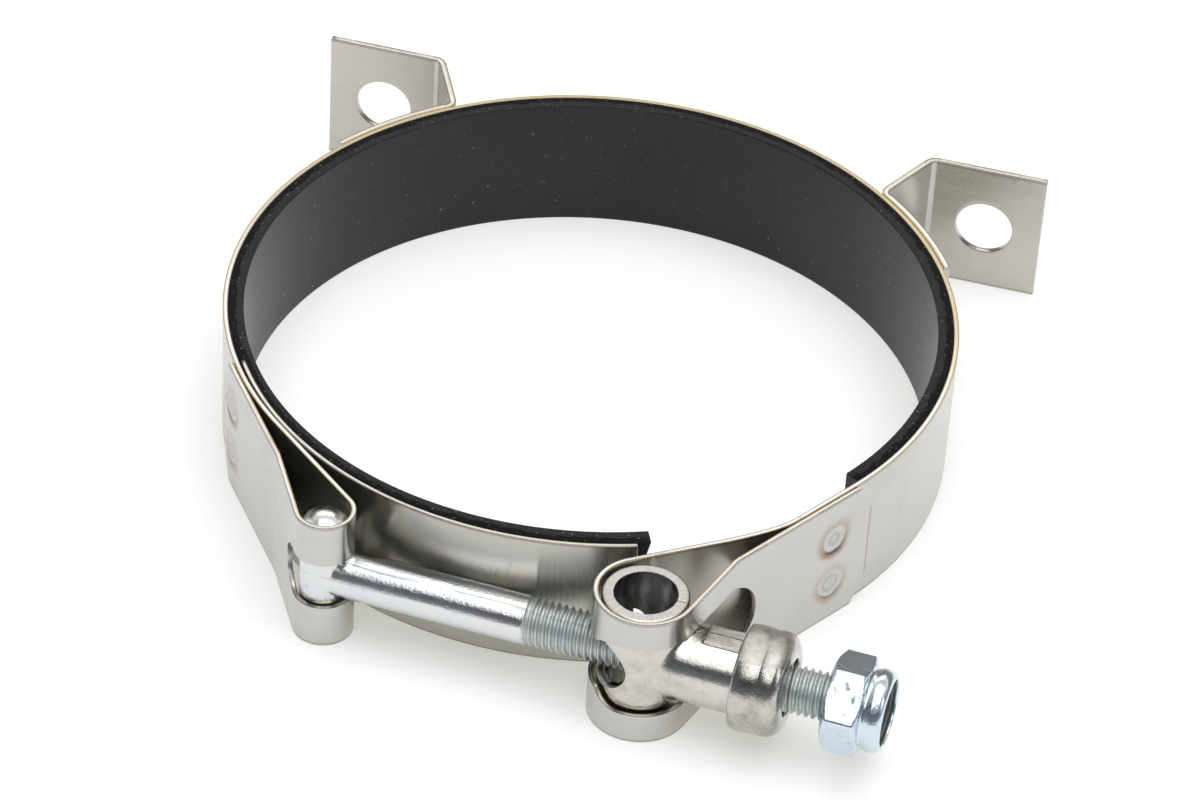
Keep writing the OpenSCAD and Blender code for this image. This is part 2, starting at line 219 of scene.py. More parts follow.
# What follows from these.
RING_R = BORE_R + LINER_T
MAIN_R = RING_R + BAND_T / 2
FLAP_R = MAIN_R + BAND_T + FLAP_GAP
LEAD_R = MAIN_R + TONGUE_T + LEAD_GAP
HEAD_LOOP = BOLT_R + HEAD_PLAY + BAND_T / 2
PIVOT_LOOP = BARREL_R + PIVOT_PLAY + BAND_T / 2
BOLT_DIR = (PIVOT - HEAD).normalized()
BOLT_L = (NUT_FACE - HEAD).length + NUT_H - END_IN


def ray(degrees):
    """Unit vector of the plan at an angle."""
    return Vector((math.cos(math.radians(degrees)), math.sin(math.radians(degrees))))


HEAD_ANG = math.degrees(math.atan2(HEAD.y, HEAD.x)) % 360
PIVOT_ANG = math.degrees(math.atan2(PIVOT.y, PIVOT.x))
LEFT_RUN = FLAP_R * math.radians(HEAD_ANG - LEFT_FLAP_ANG) - LEFT_LEG
RIGHT_RUN = FLAP_R * math.radians(RIGHT_FLAP_ANG - PIVOT_ANG) - RIGHT_LEG
RING_END = HEAD_ANG - math.degrees(math.acos((MAIN_R + HEAD_LOOP) / HEAD.length))
TONGUE_C = (TONGUE_T + LEAD_GAP - TONGUE_CLEAR) * ray(RING_END + TONGUE_TURN)
TONGUE_OUT = RING_R - FIT
TONGUE_IN = TONGUE_OUT - TONGUE_T
LEAD_ANG = RIGHT_FLAP_ANG - math.degrees(math.acos((MAIN_R - JOGGLE_R) / (LEAD_R - JOGGLE_R)))

# Strips: an upright sheet along a plan line.

Roller = namedtuple("Roller", "centre radius turn")
Station = namedtuple("Station", "outer inner low high hole along")


def heading(p, q):
    """Heading of the strip on the straight from one roller to the next, in radians."""
    d = q.centre - p.centre
    lean = (p.turn * p.radius - q.turn * q.radius) / d.length
    return math.atan2(d.y, d.x) + math.asin(max(-1, min(1, lean)))


def on(p, h):
    """Point of a roller where the strip has a heading."""
    return p.centre + p.turn * p.radius * Vector((math.sin(h), -math.cos(h)))


def arc(p, h0):
    """Point and heading on a roller, by the distance from a first heading."""

    def place(s):
        h = h0 + p.turn * s / p.radius
        return on(p, h), h

    return place


def straight(a, h):
    """Point and heading on a straight, by the distance from its start."""
    run = Vector((math.cos(h), math.sin(h)))
    return lambda s: (a + s * run, h)


class Line:
    """A plan line that runs like a belt round rollers."""

    def __init__(self, rollers, first, last, tail=0):
        self.pieces = []
        self.starts = []
        self.length = 0
        headings = [heading(p, q) for p, q in zip(rollers, rollers[1:])]
        for i, p in enumerate(rollers):
            h0 = headings[i - 1] if i else first
            h1 = headings[i] if i < len(headings) else last
            self.starts.append(self.length)
            sweep = (p.turn * (h1 - h0)) % (2 * math.pi)
            self.add(sweep * p.radius, arc(p, h0))
            if i < len(headings):
                a, b = on(p, h1), on(rollers[i + 1], h1)
                self.add((b - a).length, straight(a, h1))
        if tail:
            self.add(tail, straight(*self.at(self.length)))

    def add(self, length, place):
        """Adds a piece by its length and the function that gives its points."""
        if length > 1e-6:
            self.pieces.append((self.length, length, place))
            self.length += length

    def at(self, s):
        """Point and heading at a distance along the line."""
        start, _, place = next(p for p in reversed(self.pieces) if p[0] <= s + 1e-9)
        return place(s - start)

    def marks(self, step, turn):
        """Distances to sample, close enough for the bends."""
        out = []
        for start, length, place in self.pieces:
            bend = abs(place(length)[1] - place(0)[1])
            n = max(1, math.ceil(length / step), math.ceil(bend / math.radians(turn)))
            out += [start + length * i / n for i in range(n)]
        return out + [self.length]


class Slot:
    """A long hole at mid height, between the centres of its round ends."""

    def __init__(self, start, end, radius):
        self.start, self.end, self.radius = start, end, radius

    def half(self, s):
        """Half the hole's height at a distance along the strip."""
        off = max(self.start - s, s - self.end, 0)
        return math.sqrt(max(0, self.radius**2 - off**2))

    def marks(self):
        """Distances at which the round ends are sampled."""
        arc = [self.radius * math.sin(math.radians(a)) for a in range(0, 91, 6)]
        return [self.start - a for a in arc] + [self.end + a for a in arc]


def smooth_step(low, high, x):
    """Soft change from 0 to 1 between two values."""
    t = max(0.0, min(1.0, (x - low) / (high - low)))
    return t * t * (3 - 2 * t)


def spread(values, least):
    """Sorted values without near doubles."""
    out = []
    for v in sorted(values):
        if not out or v - out[-1] > least:
            out.append(v)
    return out


# Stations along a strip: their spacing, the bend between them, and the least gaps and slot that count.
STATION_STEP = 1.0
STATION_TURN = 3.0
MARK_GAP = 0.12
LEAST_STEP = 0.01
LEAST_HOLE = 0.02


def sheet_stations(line, thick, slots=(), ends=(0, 0), more=()):
    """Stations of a strip of even thickness, with slots, bevelled ends and more marks where wanted."""
    exact = [m for slot in slots for m in slot.marks()] + list(more)
    exact += [ends[0], line.length - ends[1]]
    loose = line.marks(STATION_STEP, STATION_TURN)
    loose = [m for m in loose if all(abs(m - e) > MARK_GAP for e in exact)]
    marks = [m for m in exact + loose if 0 <= m <= line.length] + [0, line.length]
    out = []
    for s in spread(marks, LEAST_STEP):
        point, h = line.at(s)
        normal = Vector((math.sin(h), -math.cos(h))) * thick / 2
        cut = 0
        if s < ends[0]:
            cut = BEVEL_H * (1 - s / ends[0])
        if s > line.length - ends[1]:
            cut = BEVEL_H * (1 - (line.length - s) / ends[1])
        hole = max([slot.half(s) for slot in slots], default=0)
        hole = hole if hole > LEAST_HOLE else 0
        out.append(Station(point + normal, point - normal, cut, WIDTH - cut, hole, s))
    return out


EVEN_ROWS = tuple(j / 6 for j in range(7))
LEAN_RUN = 8


def strip(name, stations, edge=EDGE, rows=EVEN_ROWS, lean=0.0, dent=None):
    """Closed mesh of an upright strip with rounded edges; its map runs along the strip and up.

    Rows are shares of the height below the slot, from the edge to the middle. The last end can lean
    by a distance at its foot, and a dent gives the depth of the outer face at a place.
    """
    bm = bmesh.new()
    along = bm.verts.layers.float.new("along")
    across = bm.verts.layers.float.new("across")
    columns = []
    for st in stations:
        heights = [st.low + (MID - st.hole - st.low) * share for share in rows]
        heights += [st.high - (st.high - MID - st.hole) * share for share in reversed(rows)]
        sides = []
        for xy, other in ((st.outer, st.inner), (st.inner, st.outer)):
            out = (xy - other).normalized()
            side = []
            for z in heights:
                at = xy
                if dent and xy is st.outer:
                    at = xy - out * dent(st.along, z)
                if lean:
                    near = max(0.0, 1 - (stations[-1].along - st.along) / LEAN_RUN)
                    back = Vector((out.y, -out.x)) * (1 if xy is st.outer else -1)
                    at = at + back * lean * near * (1 - z / WIDTH)
                v = bm.verts.new((at.x * MM, at.y * MM, z * MM))
                v[along] = st.along * MM
                v[across] = 1.0 if xy is st.outer else 0.0
                side.append(v)
            sides.append(side)
        columns.append(sides)
    half = len(rows) - 1
    spans = [j for j in range(2 * half + 1) if j != half]
    for i, (a, b) in enumerate(zip(columns, columns[1:])):
        for j in spans:
            bm.faces.new((a[0][j], b[0][j], b[0][j + 1], a[0][j + 1]))
            bm.faces.new((a[1][j], a[1][j + 1], b[1][j + 1], b[1][j]))
        walls = [0, 2 * half + 1]
        if stations[i].hole or stations[i + 1].hole:
            walls += [half, half + 1]
        for j in walls:
            bm.faces.new((a[0][j], a[1][j], b[1][j], b[0][j]))
    for sides in (columns[0], columns[-1]):
        for j in spans:
            bm.faces.new((sides[0][j], sides[0][j + 1], sides[1][j + 1], sides[1][j]))
    bmesh.ops.remove_doubles(bm, verts=bm.verts, dist=1e-6)
    bmesh.ops.dissolve_degenerate(bm, edges=bm.edges, dist=1e-7)
    return finished(bm, name, edge, along, segments=3)


def placed(name, data):
    """New object in the scene."""
    obj = bpy.data.objects.new(name, data)
    scene.collection.objects.link(obj)
    return obj


def from_bmesh(name, bm):
    """New object of a mesh that was being built."""
    mesh = bpy.data.meshes.new(name)
    bm.to_mesh(mesh)
    bm.free()
    return placed(name, mesh)


def finished(bm, name, edge=0.0, along=None, angle=50, segments=2):
    """Object of a mesh with rounded edges and even shading."""
    bmesh.ops.recalc_face_normals(bm, faces=bm.faces)
    if edge:
        least = math.radians(angle)
        sharp = [e for e in bm.edges if len(e.link_faces) == 2 and e.calc_face_angle() > least]
        bmesh.ops.bevel(
            bm, geom=sharp, offset=edge * MM, offset_type="OFFSET", segments=segments, profile=0.5,
            affect="EDGES", clamp_overlap=True
        )
    uv = bm.loops.layers.uv.new("strip")
    for face in bm.faces:
        face.smooth = True
        for loop in face.loops:
            v = loop.vert
            loop[uv].uv = (v[along], v.co.z) if along else (v.co.x, v.co.z)
    obj = from_bmesh(name, bm)
    shade = obj.modifiers.new("even_shading", "WEIGHTED_NORMAL")
    shade.keep_sharp = True
    return obj


def dress(obj, body, slot, material, *nodes):
    """Puts a piece on its body, in place of CAD nodes, with its finish."""
    obj.data.materials.clear()
    obj.data.materials.append(material)
    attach(obj, body)
    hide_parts(*nodes)
    return obj


# Materials.


class Graph:
    """A short way to write the node tree of a material or a world."""

    def __init__(self, owner, shader="Principled BSDF"):
        owner.use_nodes = True
        self.owner = owner
        self.tree = owner.node_tree
        self.shader = self.tree.nodes[shader]

    def node(self, kind, inputs=None, **settings):
        made = self.tree.nodes.new(kind)
        for key, value in settings.items():
            setattr(made, key, value)
        for key, value in (inputs or {}).items():
            self.put(made.inputs[key], value)
        return made

    def put(self, socket, value):
        if isinstance(value, bpy.types.NodeSocket):
            self.tree.links.new(value, socket)
        else:
            socket.default_value = value

    def set(self, **inputs):
        for key, value in inputs.items():
            self.put(self.shader.inputs[key.replace("_", " ")], value)

    def math(self, operation, a, b=0.0):
        made = self.node("ShaderNodeMath", operation=operation)
        self.put(made.inputs[0], a)
        self.put(made.inputs[1], b)
        return made.outputs[0]

    def times(self, a, b):
        return self.math("MULTIPLY", a, b)

    def plus(self, a, b):
        return self.math("ADD", a, b)

    def hypot(self, a, b):
        return self.math("SQRT", self.plus(self.math("POWER", a, 2.0), self.math("POWER", b, 2.0)))

    def mix(self, factor, a, b, blend="MIX"):
        made = self.node("ShaderNodeMix", data_type="RGBA", blend_type=blend)
        self.put(made.inputs[0], factor)
        self.put(made.inputs[6], a)
        self.put(made.inputs[7], b)
        return made.outputs[2]

    def span(self, value, low, high, to_low=0.0, to_high=1.0, smooth=True):
        """Change from one value to another between two limits, soft or straight."""
        kind = "SMOOTHSTEP" if smooth else "LINEAR"
        limits = {"From Min": low, "From Max": high, "To Min": to_low, "To Max": to_high}
        made = self.node("ShaderNodeMapRange", {"Value": value, **limits}, interpolation_type=kind)
        return made.outputs[0]

    def hump(self, value, foot, top, fall, end, peak=1.0):
        """Rise between the first two limits and fall between the last two."""
        return self.times(self.span(value, foot, top), self.span(value, fall, end, peak, 0.0))

    def split(self, vector):
        return self.node("ShaderNodeSeparateXYZ", {"Vector": vector}).outputs

    def join(self, x, y=0.0, z=0.0):
        return self.node("ShaderNodeCombineXYZ", {"X": x, "Y": y, "Z": z}).outputs[0]

    def place(self, output="Object", scale=(1, 1, 1)):
        coords = self.node("ShaderNodeTexCoord").outputs[output]
        return self.node("ShaderNodeMapping", {"Vector": coords, "Scale": scale}).outputs[0]

    def noise(self, where, scale, detail=3.0, rough=0.5):
        inputs = {"Vector": where, "Scale": scale, "Detail": detail, "Roughness": rough}
        return self.node("ShaderNodeTexNoise", inputs).outputs["Fac"]

    def bump(self, height, strength, distance):
        inputs = {"Height": height, "Strength": strength, "Distance": distance * MM}
        return self.node("ShaderNodeBump", inputs).outputs[0]

    def bolt_frame(self):
        """Distances along the bolt from its head's axis, across it and up from it, in metres."""
        turn = -math.atan2(BOLT_DIR.y, BOLT_DIR.x)
        shift = Matrix.Rotation(turn, 3, "Z") @ Vector((-HEAD.x, -HEAD.y, -MID)) * MM
        where = self.node("ShaderNodeTexCoord").outputs["Object"]
        made = self.node("ShaderNodeMapping", {"Vector": where, "Rotation": (0, 0, turn), "Location": shift})
        return self.split(made.outputs[0])

    def across_rim(self):
        """Share of a strip's thickness from its inner face, and how far the surface looks up."""
        across = self.node("ShaderNodeAttribute", attribute_name="across").outputs["Fac"]
        up = self.split(self.node("ShaderNodeNewGeometry").outputs["Normal"])[2]
        return across, self.span(up, 0.55, 0.8)

    def far(self, point):
        """Distance from a point of the part, in metres."""
        where = self.node("ShaderNodeTexCoord").outputs["Object"]
        made = self.node("ShaderNodeVectorMath", operation="DISTANCE")
        self.put(made.inputs[0], where)
        self.put(made.inputs[1], tuple(c * MM for c in point))
        return made.outputs["Value"]


def grey(value, warm=0.0):
    """A grey, warmer or cooler by a share."""
    return (value * (1 + warm), value, value * (1 - warm), 1)


def set_ramp(node, stops):
    """Fills a colour ramp from places and colours."""
    ends = node.color_ramp.elements
    ends[0].position, ends[0].color = stops[0]
    ends[1].position, ends[1].color = stops[-1]
    for spot, colour in stops[1:-1]:
        ends.new(spot).color = colour


# Colours of the strips, with their rims, cut ends and welds.
STEEL_LIGHT = (0.57, 0.558, 0.524, 1)
STEEL_DARK = (0.535, 0.522, 0.489, 1)
STEEL_DULL = (0.47, 0.45, 0.412, 1)
STEEL_MARK = (0.36, 0.34, 0.31, 1)
# Painted shade: the tabs' and the tongue's steel is darkened all over by these.
TAB_PAINTED_SHADE = (0.95, 0.935, 0.905, 1)
TONGUE_PAINTED_SHADE = (0.9, 0.9, 0.87, 1)
# Painted shade on the upper rim's rounded corners, gold and grey; painted gold of reflection on the rim at
# the back; a painted dark line just inside each rim.
RIM_GOLD_PAINTED_SHADE = (0.3, 0.215, 0.09, 1)
RIM_GREY_PAINTED_SHADE = (0.2, 0.19, 0.19, 1)
RIM_PAINTED_BACK_GOLD = (0.34, 0.265, 0.12, 1)
RIM_PAINTED_SHADE_LINE = (0.2, 0.175, 0.14, 1)
END_BROWN = (0.24, 0.2, 0.15, 1)
WELD_BROWN = (0.26, 0.14, 0.045, 1)
WELD_BLUE = (0.05, 0.05, 0.12, 1)
WELD_GREY = (0.32, 0.3, 0.29, 1)

# Colours of the trunnion and cap, with their sawn ends, seam and bore.
BRIGHT_LIGHT = (0.6, 0.575, 0.53, 1)
BRIGHT_DULL = (0.47, 0.445, 0.4, 1)
# Painted shade: the cap's steel is a darker copy of the trunnion's, for its darker reflections.
CAP_LIGHT_PAINTED_SHADE = (0.52, 0.5, 0.46, 1)
CAP_DULL_PAINTED_SHADE = (0.3, 0.285, 0.255, 1)
SAWN_DARK = (0.4, 0.39, 0.37, 1)
SAWN_LIGHT = (0.62, 0.61, 0.58, 1)
SEAM_DARK = (0.3, 0.285, 0.26, 1)
SEAM_LIGHT = (0.5, 0.48, 0.44, 1)
BORE_DARK = (0.16, 0.16, 0.15, 1)
BORE_LIGHT = (0.5, 0.5, 0.48, 1)

# Colours of the bolt and nut, and tints by the values of a slow noise.
BOLT_ZINC = (0.645, 0.64, 0.625, 1)
NUT_ZINC = (0.61, 0.69, 0.755, 1)
ZINC_SPECK = (0.24, 0.26, 0.28, 1)
# The next grey paints reflection lines along the bolt, and the groove grey paints shade in the thread's
# grooves.
REFLECTION_LINE_GREY = (0.2, 0.24, 0.26, 1)
THREAD_GREY = (0.6, 0.65, 0.63, 1)
GROOVE_PAINTED_SHADE = (0.28, 0.31, 0.3, 1)
ZINC_TINTS = (
    (0.3, (0.86, 0.68, 0.78, 1)),
    (0.45, (0.72, 0.82, 0.74, 1)),
    (0.58, (0.68, 0.76, 0.9, 1)),
    (0.72, (0.86, 0.8, 0.68, 1)),
)

# Colours of the rubber, with its upper edge, and of the nylon.
RUBBER_DARK = (0.0095, 0.0095, 0.0115, 1)
RUBBER_LIGHT = (0.0145, 0.0142, 0.0165, 1)
RUBBER_TOP = (0.008, 0.008, 0.0095, 1)
RUBBER_RIM = (0.003, 0.0026, 0.0022, 1)
RUBBER_GLINT = (0.3, 0.29, 0.28, 1)
NYLON_DARK = (0.05, 0.06, 0.055, 1)
NYLON_LIGHT = (0.14, 0.16, 0.15, 1)

# Brown, blue and grey rings of a weld, by shares of its radius: where each starts, is full, fades and ends.
WELD_RINGS = ((0.85, 1.05, 1.05, 1.75), (0.8, 0.92, 0.98, 1.12), (0.3, 0.4, 0.5, 0.62))


def strip_steel(name, welds=(), length=0.0, shade=(1, 1, 1, 1), painted_back_gold=0.0):
    """Bright rolled stainless strip: fine lines along it, smudges, small marks, and tint round spot welds.

    A length darkens the strip's ends. Painted shade darkens the rounded corners of its upper rim, gold
    towards the inner face and grey towards the outer, and lays a dark line just inside each rim; the last
    argument is how much painted gold the upper rim takes on towards the back. A shade multiplies the whole
    colour, and for the tabs and the tongue it is painted shade.
    """
    g = Graph(bpy.data.materials.new(name))
    lines = g.noise(g.place("UV", (5, 6500, 1)), 1.0, 2, 0.5)
    broad = g.noise(g.place("UV", (4, 500, 1)), 1.0, 1)
    smudge = g.noise(g.place(), 85, 4, 0.6)
    mark = g.span(g.noise(g.place("UV", (420, 560, 1)), 1.0, 4, 0.6), 0.69, 0.78)
    tone = g.plus(g.times(lines, 0.5), g.times(broad, 0.5))
    colour = g.mix(g.span(tone, 0.3, 0.7), STEEL_DARK, STEEL_LIGHT)
    colour = g.mix(g.span(smudge, 0.5, 0.8, 0.0, 0.35), colour, STEEL_DULL)
    colour = g.mix(g.times(mark, 0.15), colour, STEEL_MARK)
    rough = g.plus(g.span(tone, 0.3, 0.7, 0.22, 0.25), g.span(smudge, 0.45, 0.75, 0.0, 0.05))
    at, height, _ = g.split(g.node("ShaderNodeTexCoord").outputs["UV"])
    from_rim = g.math("MINIMUM", height, g.math("SUBTRACT", WIDTH * MM, height))
    # Painted shade: a dark line on the faces just inside the upper and lower rims.
    line = g.hump(from_rim, 0.08 * MM, 0.14 * MM, 0.2 * MM, 0.36 * MM, 0.6)
    colour = g.mix(line, colour, RIM_PAINTED_SHADE_LINE)
    across, top = g.across_rim()
    # Painted shade on the rounded corners of the upper rim: gold towards the inner face, grey towards the
    # outer.
    colour = g.mix(g.times(top, g.span(across, 0.12, 0.34, 1.0, 0.0)), colour, RIM_GOLD_PAINTED_SHADE)
    colour = g.mix(g.times(top, g.span(across, 0.68, 0.86)), colour, RIM_GREY_PAINTED_SHADE)
    # Painted reflection: the upper rim turns gold towards the back of the ring.
    behind = g.split(g.place())[1]
    colour = g.mix(g.times(top, g.span(behind, -15 * MM, 20 * MM, 0.0, painted_back_gold)), colour, RIM_PAINTED_BACK_GOLD)
    if length:
        end = g.math("MINIMUM", at, g.math("SUBTRACT", length * MM, at))
        colour = g.mix(g.span(end, 0.1 * MM, 0.5 * MM, 0.6, 0.0), colour, END_BROWN)
    radius = WELD_D * 0.5 * MM
    for weld in welds:
        upper = weld[2] > MID
        wobble = g.span(g.noise(g.place(), 260, 3), 0.25, 0.75, -0.3 * MM, 0.3 * MM)
        d = g.plus(g.far(weld), wobble)
        below = g.far((weld[0] - 0.4, weld[1], weld[2] - 2.6))
        halo, blue, core = [g.hump(d, *[radius * share for share in row]) for row in WELD_RINGS]
        strength = g.times(g.span(below, 1.2 * MM, 4.4 * MM, 1.0, 0.4), 0.85 if upper else 0.55)
        colour = g.mix(g.times(halo, strength), colour, WELD_BROWN)
        low = g.times(g.span(below, 1.0 * MM, 2.6 * MM, 1.0, 0.0), 0.9 if upper else 0.5)
        colour = g.mix(g.times(blue, low), colour, WELD_BLUE)
        colour = g.mix(g.times(core, 0.4), colour, WELD_GREY)
        rough = g.plus(rough, g.span(d, radius * 0.4, radius, 0.1, 0.0))
    relief = g.bump(g.times(lines, 0.025), 0.7, 0.08)
    # The shade multiplies the whole colour; for the tabs and the tongue it is painted shade.
    g.set(Base_Color=g.mix(1.0, colour, shade, "MULTIPLY"), Roughness=rough, Metallic=1.0, Normal=relief)
    brushed = g.node("ShaderNodeTangent", direction_type="UV_MAP", uv_map="strip")
    g.set(Anisotropic=0.8, Anisotropic_Rotation=0.25, Tangent=brushed.outputs[0])
    return g.owner


# The rubber's dust: cells per metre, share of cells with a speck, a speck's radius in cells, its colour.
DUST = (
    (560.0, 0.22, 0.14, (0.2, 0.19, 0.18, 1)),
    (950.0, 0.16, 0.19, (0.13, 0.1, 0.055, 1)),
    (1500.0, 0.12, 0.24, (0.085, 0.082, 0.08, 1)),
)


def rubber():
    """Charcoal rubber with fine grain, tiny pale and brownish specks, and painted glints on its upper face.
    """
    g = Graph(bpy.data.materials.new("black_rubber"))
    where = g.place()
    grain = g.noise(where, 2600, 3, 0.6)
    cloud = g.noise(where, 60, 4)
    colour = g.mix(g.span(cloud, 0.35, 0.65), RUBBER_DARK, RUBBER_LIGHT)
    for cells_per_m, share, width, tint in DUST:
        cells = g.node("ShaderNodeTexVoronoi", {"Vector": where, "Scale": cells_per_m})
        chosen = g.node("ShaderNodeSeparateColor", {"Color": cells.outputs["Color"]}).outputs[0]
        dot = g.span(cells.outputs["Distance"], 0.5 * width, width, 1.0, 0.0)
        shown = g.span(chosen, 1.0 - share, 1.0, 0.25, 0.8)
        speck = g.times(dot, g.times(shown, g.math("GREATER_THAN", chosen, 1.0 - share)))
        colour = g.mix(speck, colour, tint)
    across, top = g.across_rim()
    ragged = g.plus(across, g.span(g.noise(where, 420, 3, 0.6), 0.3, 0.7, -0.12, 0.12))
    outer = g.span(ragged, 0.48, 0.6)
    colour = g.mix(top, colour, g.mix(outer, RUBBER_TOP, RUBBER_RIM))
    # Painted glints: pale specks on the liner's upper face.
    glint = g.span(g.noise(where, 2300, 2, 0.6), 0.645, 0.73)
    colour = g.mix(g.times(glint, g.times(top, 0.45)), colour, RUBBER_GLINT)
    shine = g.times(top, g.span(outer, 0.0, 1.0, 0.2, 0.3, False))
    rough = g.span(grain, 0.3, 0.7, 0.36, 0.46)
    g.set(Base_Color=colour, Roughness=rough, Normal=g.bump(grain, 0.2, 0.05))
    g.set(Specular_IOR_Level=g.math("SUBTRACT", 0.34, shine), Sheen_Weight=0.2, Sheen_Roughness=0.4)
    return g.owner


# Lines along the bolt, drawn marks set where its highlight lies to paint dark bands of reflection into it:
# degrees round it from the front, half width in degrees, strength.
PAINTED_REFLECTION_LINES = ((64, 4.5, 0.85), (76, 3.0, 0.6), (20, 2.0, 0.3))


def zinc(name, base, tint, rough, spots, pitted, patches):
    """Zinc plating: pale metal with a faint changing tint, small dull specks, a duller thread with painted
    shade in its grooves, and dark lines along the bolt painted into its highlight.
    """
    g = Graph(bpy.data.materials.new(name))
    where = g.place()
    drift = g.noise(where, patches, 2, 0.5)
    ramp = g.node("ShaderNodeValToRGB", {"Fac": drift})
    set_ramp(ramp, ZINC_TINTS)
    colour = g.mix(tint, base, ramp.outputs[0])
    along, across, up = g.bolt_frame()
    from_axis = g.hypot(across, up)
    on_bolt = g.span(from_axis, (BOLT_R + 0.05) * MM, (BOLT_R + 0.15) * MM, 1.0, 0.0)
    run = g.join(g.times(along, 0.12), across, up)
    wander = g.span(g.noise(run, 900, 3), 0.3, 0.7, -0.06, 0.06)
    turn = g.plus(g.math("ARCTAN2", up, g.times(across, -1.0)), wander)
    patchy = g.noise(run, 1500, 3, 0.6)
    # Painted reflection: dark lines along the bolt where its highlight lies.
    for middle, half, strength in PAINTED_REFLECTION_LINES:
        away = g.math("ABSOLUTE", g.math("SUBTRACT", turn, math.radians(middle)))
        line = g.span(away, 0.4 * math.radians(half), math.radians(half), 1.0, 0.0)
        shown = g.times(on_bolt, g.span(patchy, 0.36, 0.56, 0.25, strength))
        colour = g.mix(g.times(shown, line), colour, REFLECTION_LINE_GREY)
    speck = g.span(g.noise(where, 900, 3, 0.65), 0.55, 0.68)
    speck = g.times(speck, g.span(drift, 0.46, 0.6, 0.06, spots))
    thread = g.times(on_bolt, g.span(along, SHANK_L * MM, (SHANK_L + 0.8) * MM))
    # Painted shade: the thread darkens towards the roots of its grooves.
    groove_shade = g.span(from_axis, (BOLT_R - 0.42) * MM, (BOLT_R - 0.1) * MM, 0.4, 0.0)
    colour = g.mix(speck, colour, ZINC_SPECK)
    colour = g.mix(g.times(thread, 0.6), colour, THREAD_GREY)
    colour = g.mix(g.times(thread, groove_shade), colour, GROOVE_PAINTED_SHADE)
    dull = g.plus(g.span(drift, 0.35, 0.65, rough, rough + 0.06), g.times(speck, 0.4))
    g.set(Base_Color=colour, Metallic=1.0, Roughness=g.plus(dull, g.times(thread, 0.34)))
    g.set(Normal=g.bump(g.noise(where, 2700, 3, 0.65), pitted, 0.07))
    return g.owner


def bright_steel(name, light, dull):
    """Polished drawn sheet with smudges; its sawn ends, folded seam and bore are dull."""
    g = Graph(bpy.data.materials.new(name))
    where = g.place()
    smudge = g.noise(where, 330, 4, 0.65)
    fine = g.noise(where, 3000, 3, 0.65)
    along, across, up = g.bolt_frame()
    rings = g.noise(g.join(along), 1500, 2)
    off_x = g.math("SUBTRACT", along, (PIVOT - HEAD).length * MM)
    grain = g.noise(g.join(g.math("ARCTAN2", across, off_x)), 22, 3, 0.7)
    end = MID - BARREL_IN
    sawn = g.span(up, (end - 0.16) * MM, (end - 0.04) * MM)
    fold = NECK_R + WEB_UP
    seam = g.span(up, (fold - 0.14) * MM, (fold - 0.04) * MM)
    seam = g.times(seam, g.span(off_x, (WEB_FROM - 1) * MM, (WEB_FROM - 0.6) * MM))
    cut = g.math("MAXIMUM", sawn, seam)
    bore = BARREL_R - SHEET_T
    inside = g.span(g.hypot(off_x, across), (bore + 0.02) * MM, (bore + 0.12) * MM, 1.0, 0.0)
    inside = g.times(inside, g.span(up, (end - 0.12) * MM, (end - 0.04) * MM, 1.0, 0.0))
    patch = g.span(g.noise(g.place("Object", (420, 420, 130)), 1.0, 4, 0.6), 0.42, 0.62)
    colour = g.mix(g.span(smudge, 0.4, 0.72), light, dull)
    colour = g.mix(sawn, colour, g.mix(g.span(grain, 0.35, 0.65), SAWN_DARK, SAWN_LIGHT))
    colour = g.mix(seam, colour, g.mix(g.span(smudge, 0.35, 0.65), SEAM_DARK, SEAM_LIGHT))
    colour = g.mix(inside, colour, g.mix(patch, BORE_DARK, BORE_LIGHT))
    rough = g.span(smudge, 0.35, 0.72, 0.07, 0.15)
    rough = g.plus(rough, g.times(g.math("MAXIMUM", cut, inside), 0.3))
    relief = g.plus(fine, g.plus(g.times(rings, 0.3), g.times(g.times(cut, grain), 0.4)))
    g.set(Base_Color=colour, Metallic=1.0, Roughness=rough, Normal=g.bump(relief, 0.5, 0.06))
    return g.owner


def nylon():
    """Dark nylon with a faint grain."""
    g = Graph(bpy.data.materials.new("dark_nylon"))
    grain = g.noise(g.place(), 900, 3)
    g.set(Base_Color=g.mix(grain, NYLON_DARK, NYLON_LIGHT), Roughness=g.span(grain, 0.3, 0.7, 0.25, 0.4))
    return g.owner


# Band, tongue, liner and tabs.

rollers = [
    Roller(Vector((0, 0)), FLAP_R, 1),
    Roller((FLAP_R + PINCH_R) * ray(LEFT_FLAP_ANG) + LEFT_RUN * ray(LEFT_FLAP_ANG + 90), PINCH_R, -1),
    Roller(HEAD, HEAD_LOOP, 1),
    Roller(Vector((0, 0)), MAIN_R, -1),
    Roller((LEAD_R - JOGGLE_R) * ray(LEAD_ANG), JOGGLE_R, -1),
    Roller(Vector((0, 0)), LEAD_R, -1),
    Roller(PIVOT, PIVOT_LOOP, 1),
    Roller((FLAP_R + PINCH_R) * ray(RIGHT_FLAP_ANG) + RIGHT_RUN * ray(RIGHT_FLAP_ANG - 90), PINCH_R, -1),
    Roller(Vector((0, 0)), FLAP_R, 1),
]
band_line = Line(
    rollers, math.radians(LEFT_FLAP_ANG - LEFT_TAIL + 90), math.radians(RIGHT_FLAP_ANG + RIGHT_TAIL + 90)
)
starts = band_line.starts
left_loop_end = next(p[0] for p in band_line.pieces if p[0] > starts[2] + 1)
left_slot = Slot(starts[2] - math.radians(HEAD_SLOT_LEAD) * HEAD_LOOP, left_loop_end, HEAD_SLOT / 2)
loop_from = math.degrees(heading(rollers[5], rollers[6])) - 90
wide_from = math.degrees(math.atan2(BOLT_DIR.y, BOLT_DIR.x)) - KEYHOLE_ANG
wide_at = starts[6] + math.radians((wide_from - loop_from) % 360) * PIVOT_LOOP
narrow_slot = Slot(starts[6], wide_at, NARROW_SLOT / 2)
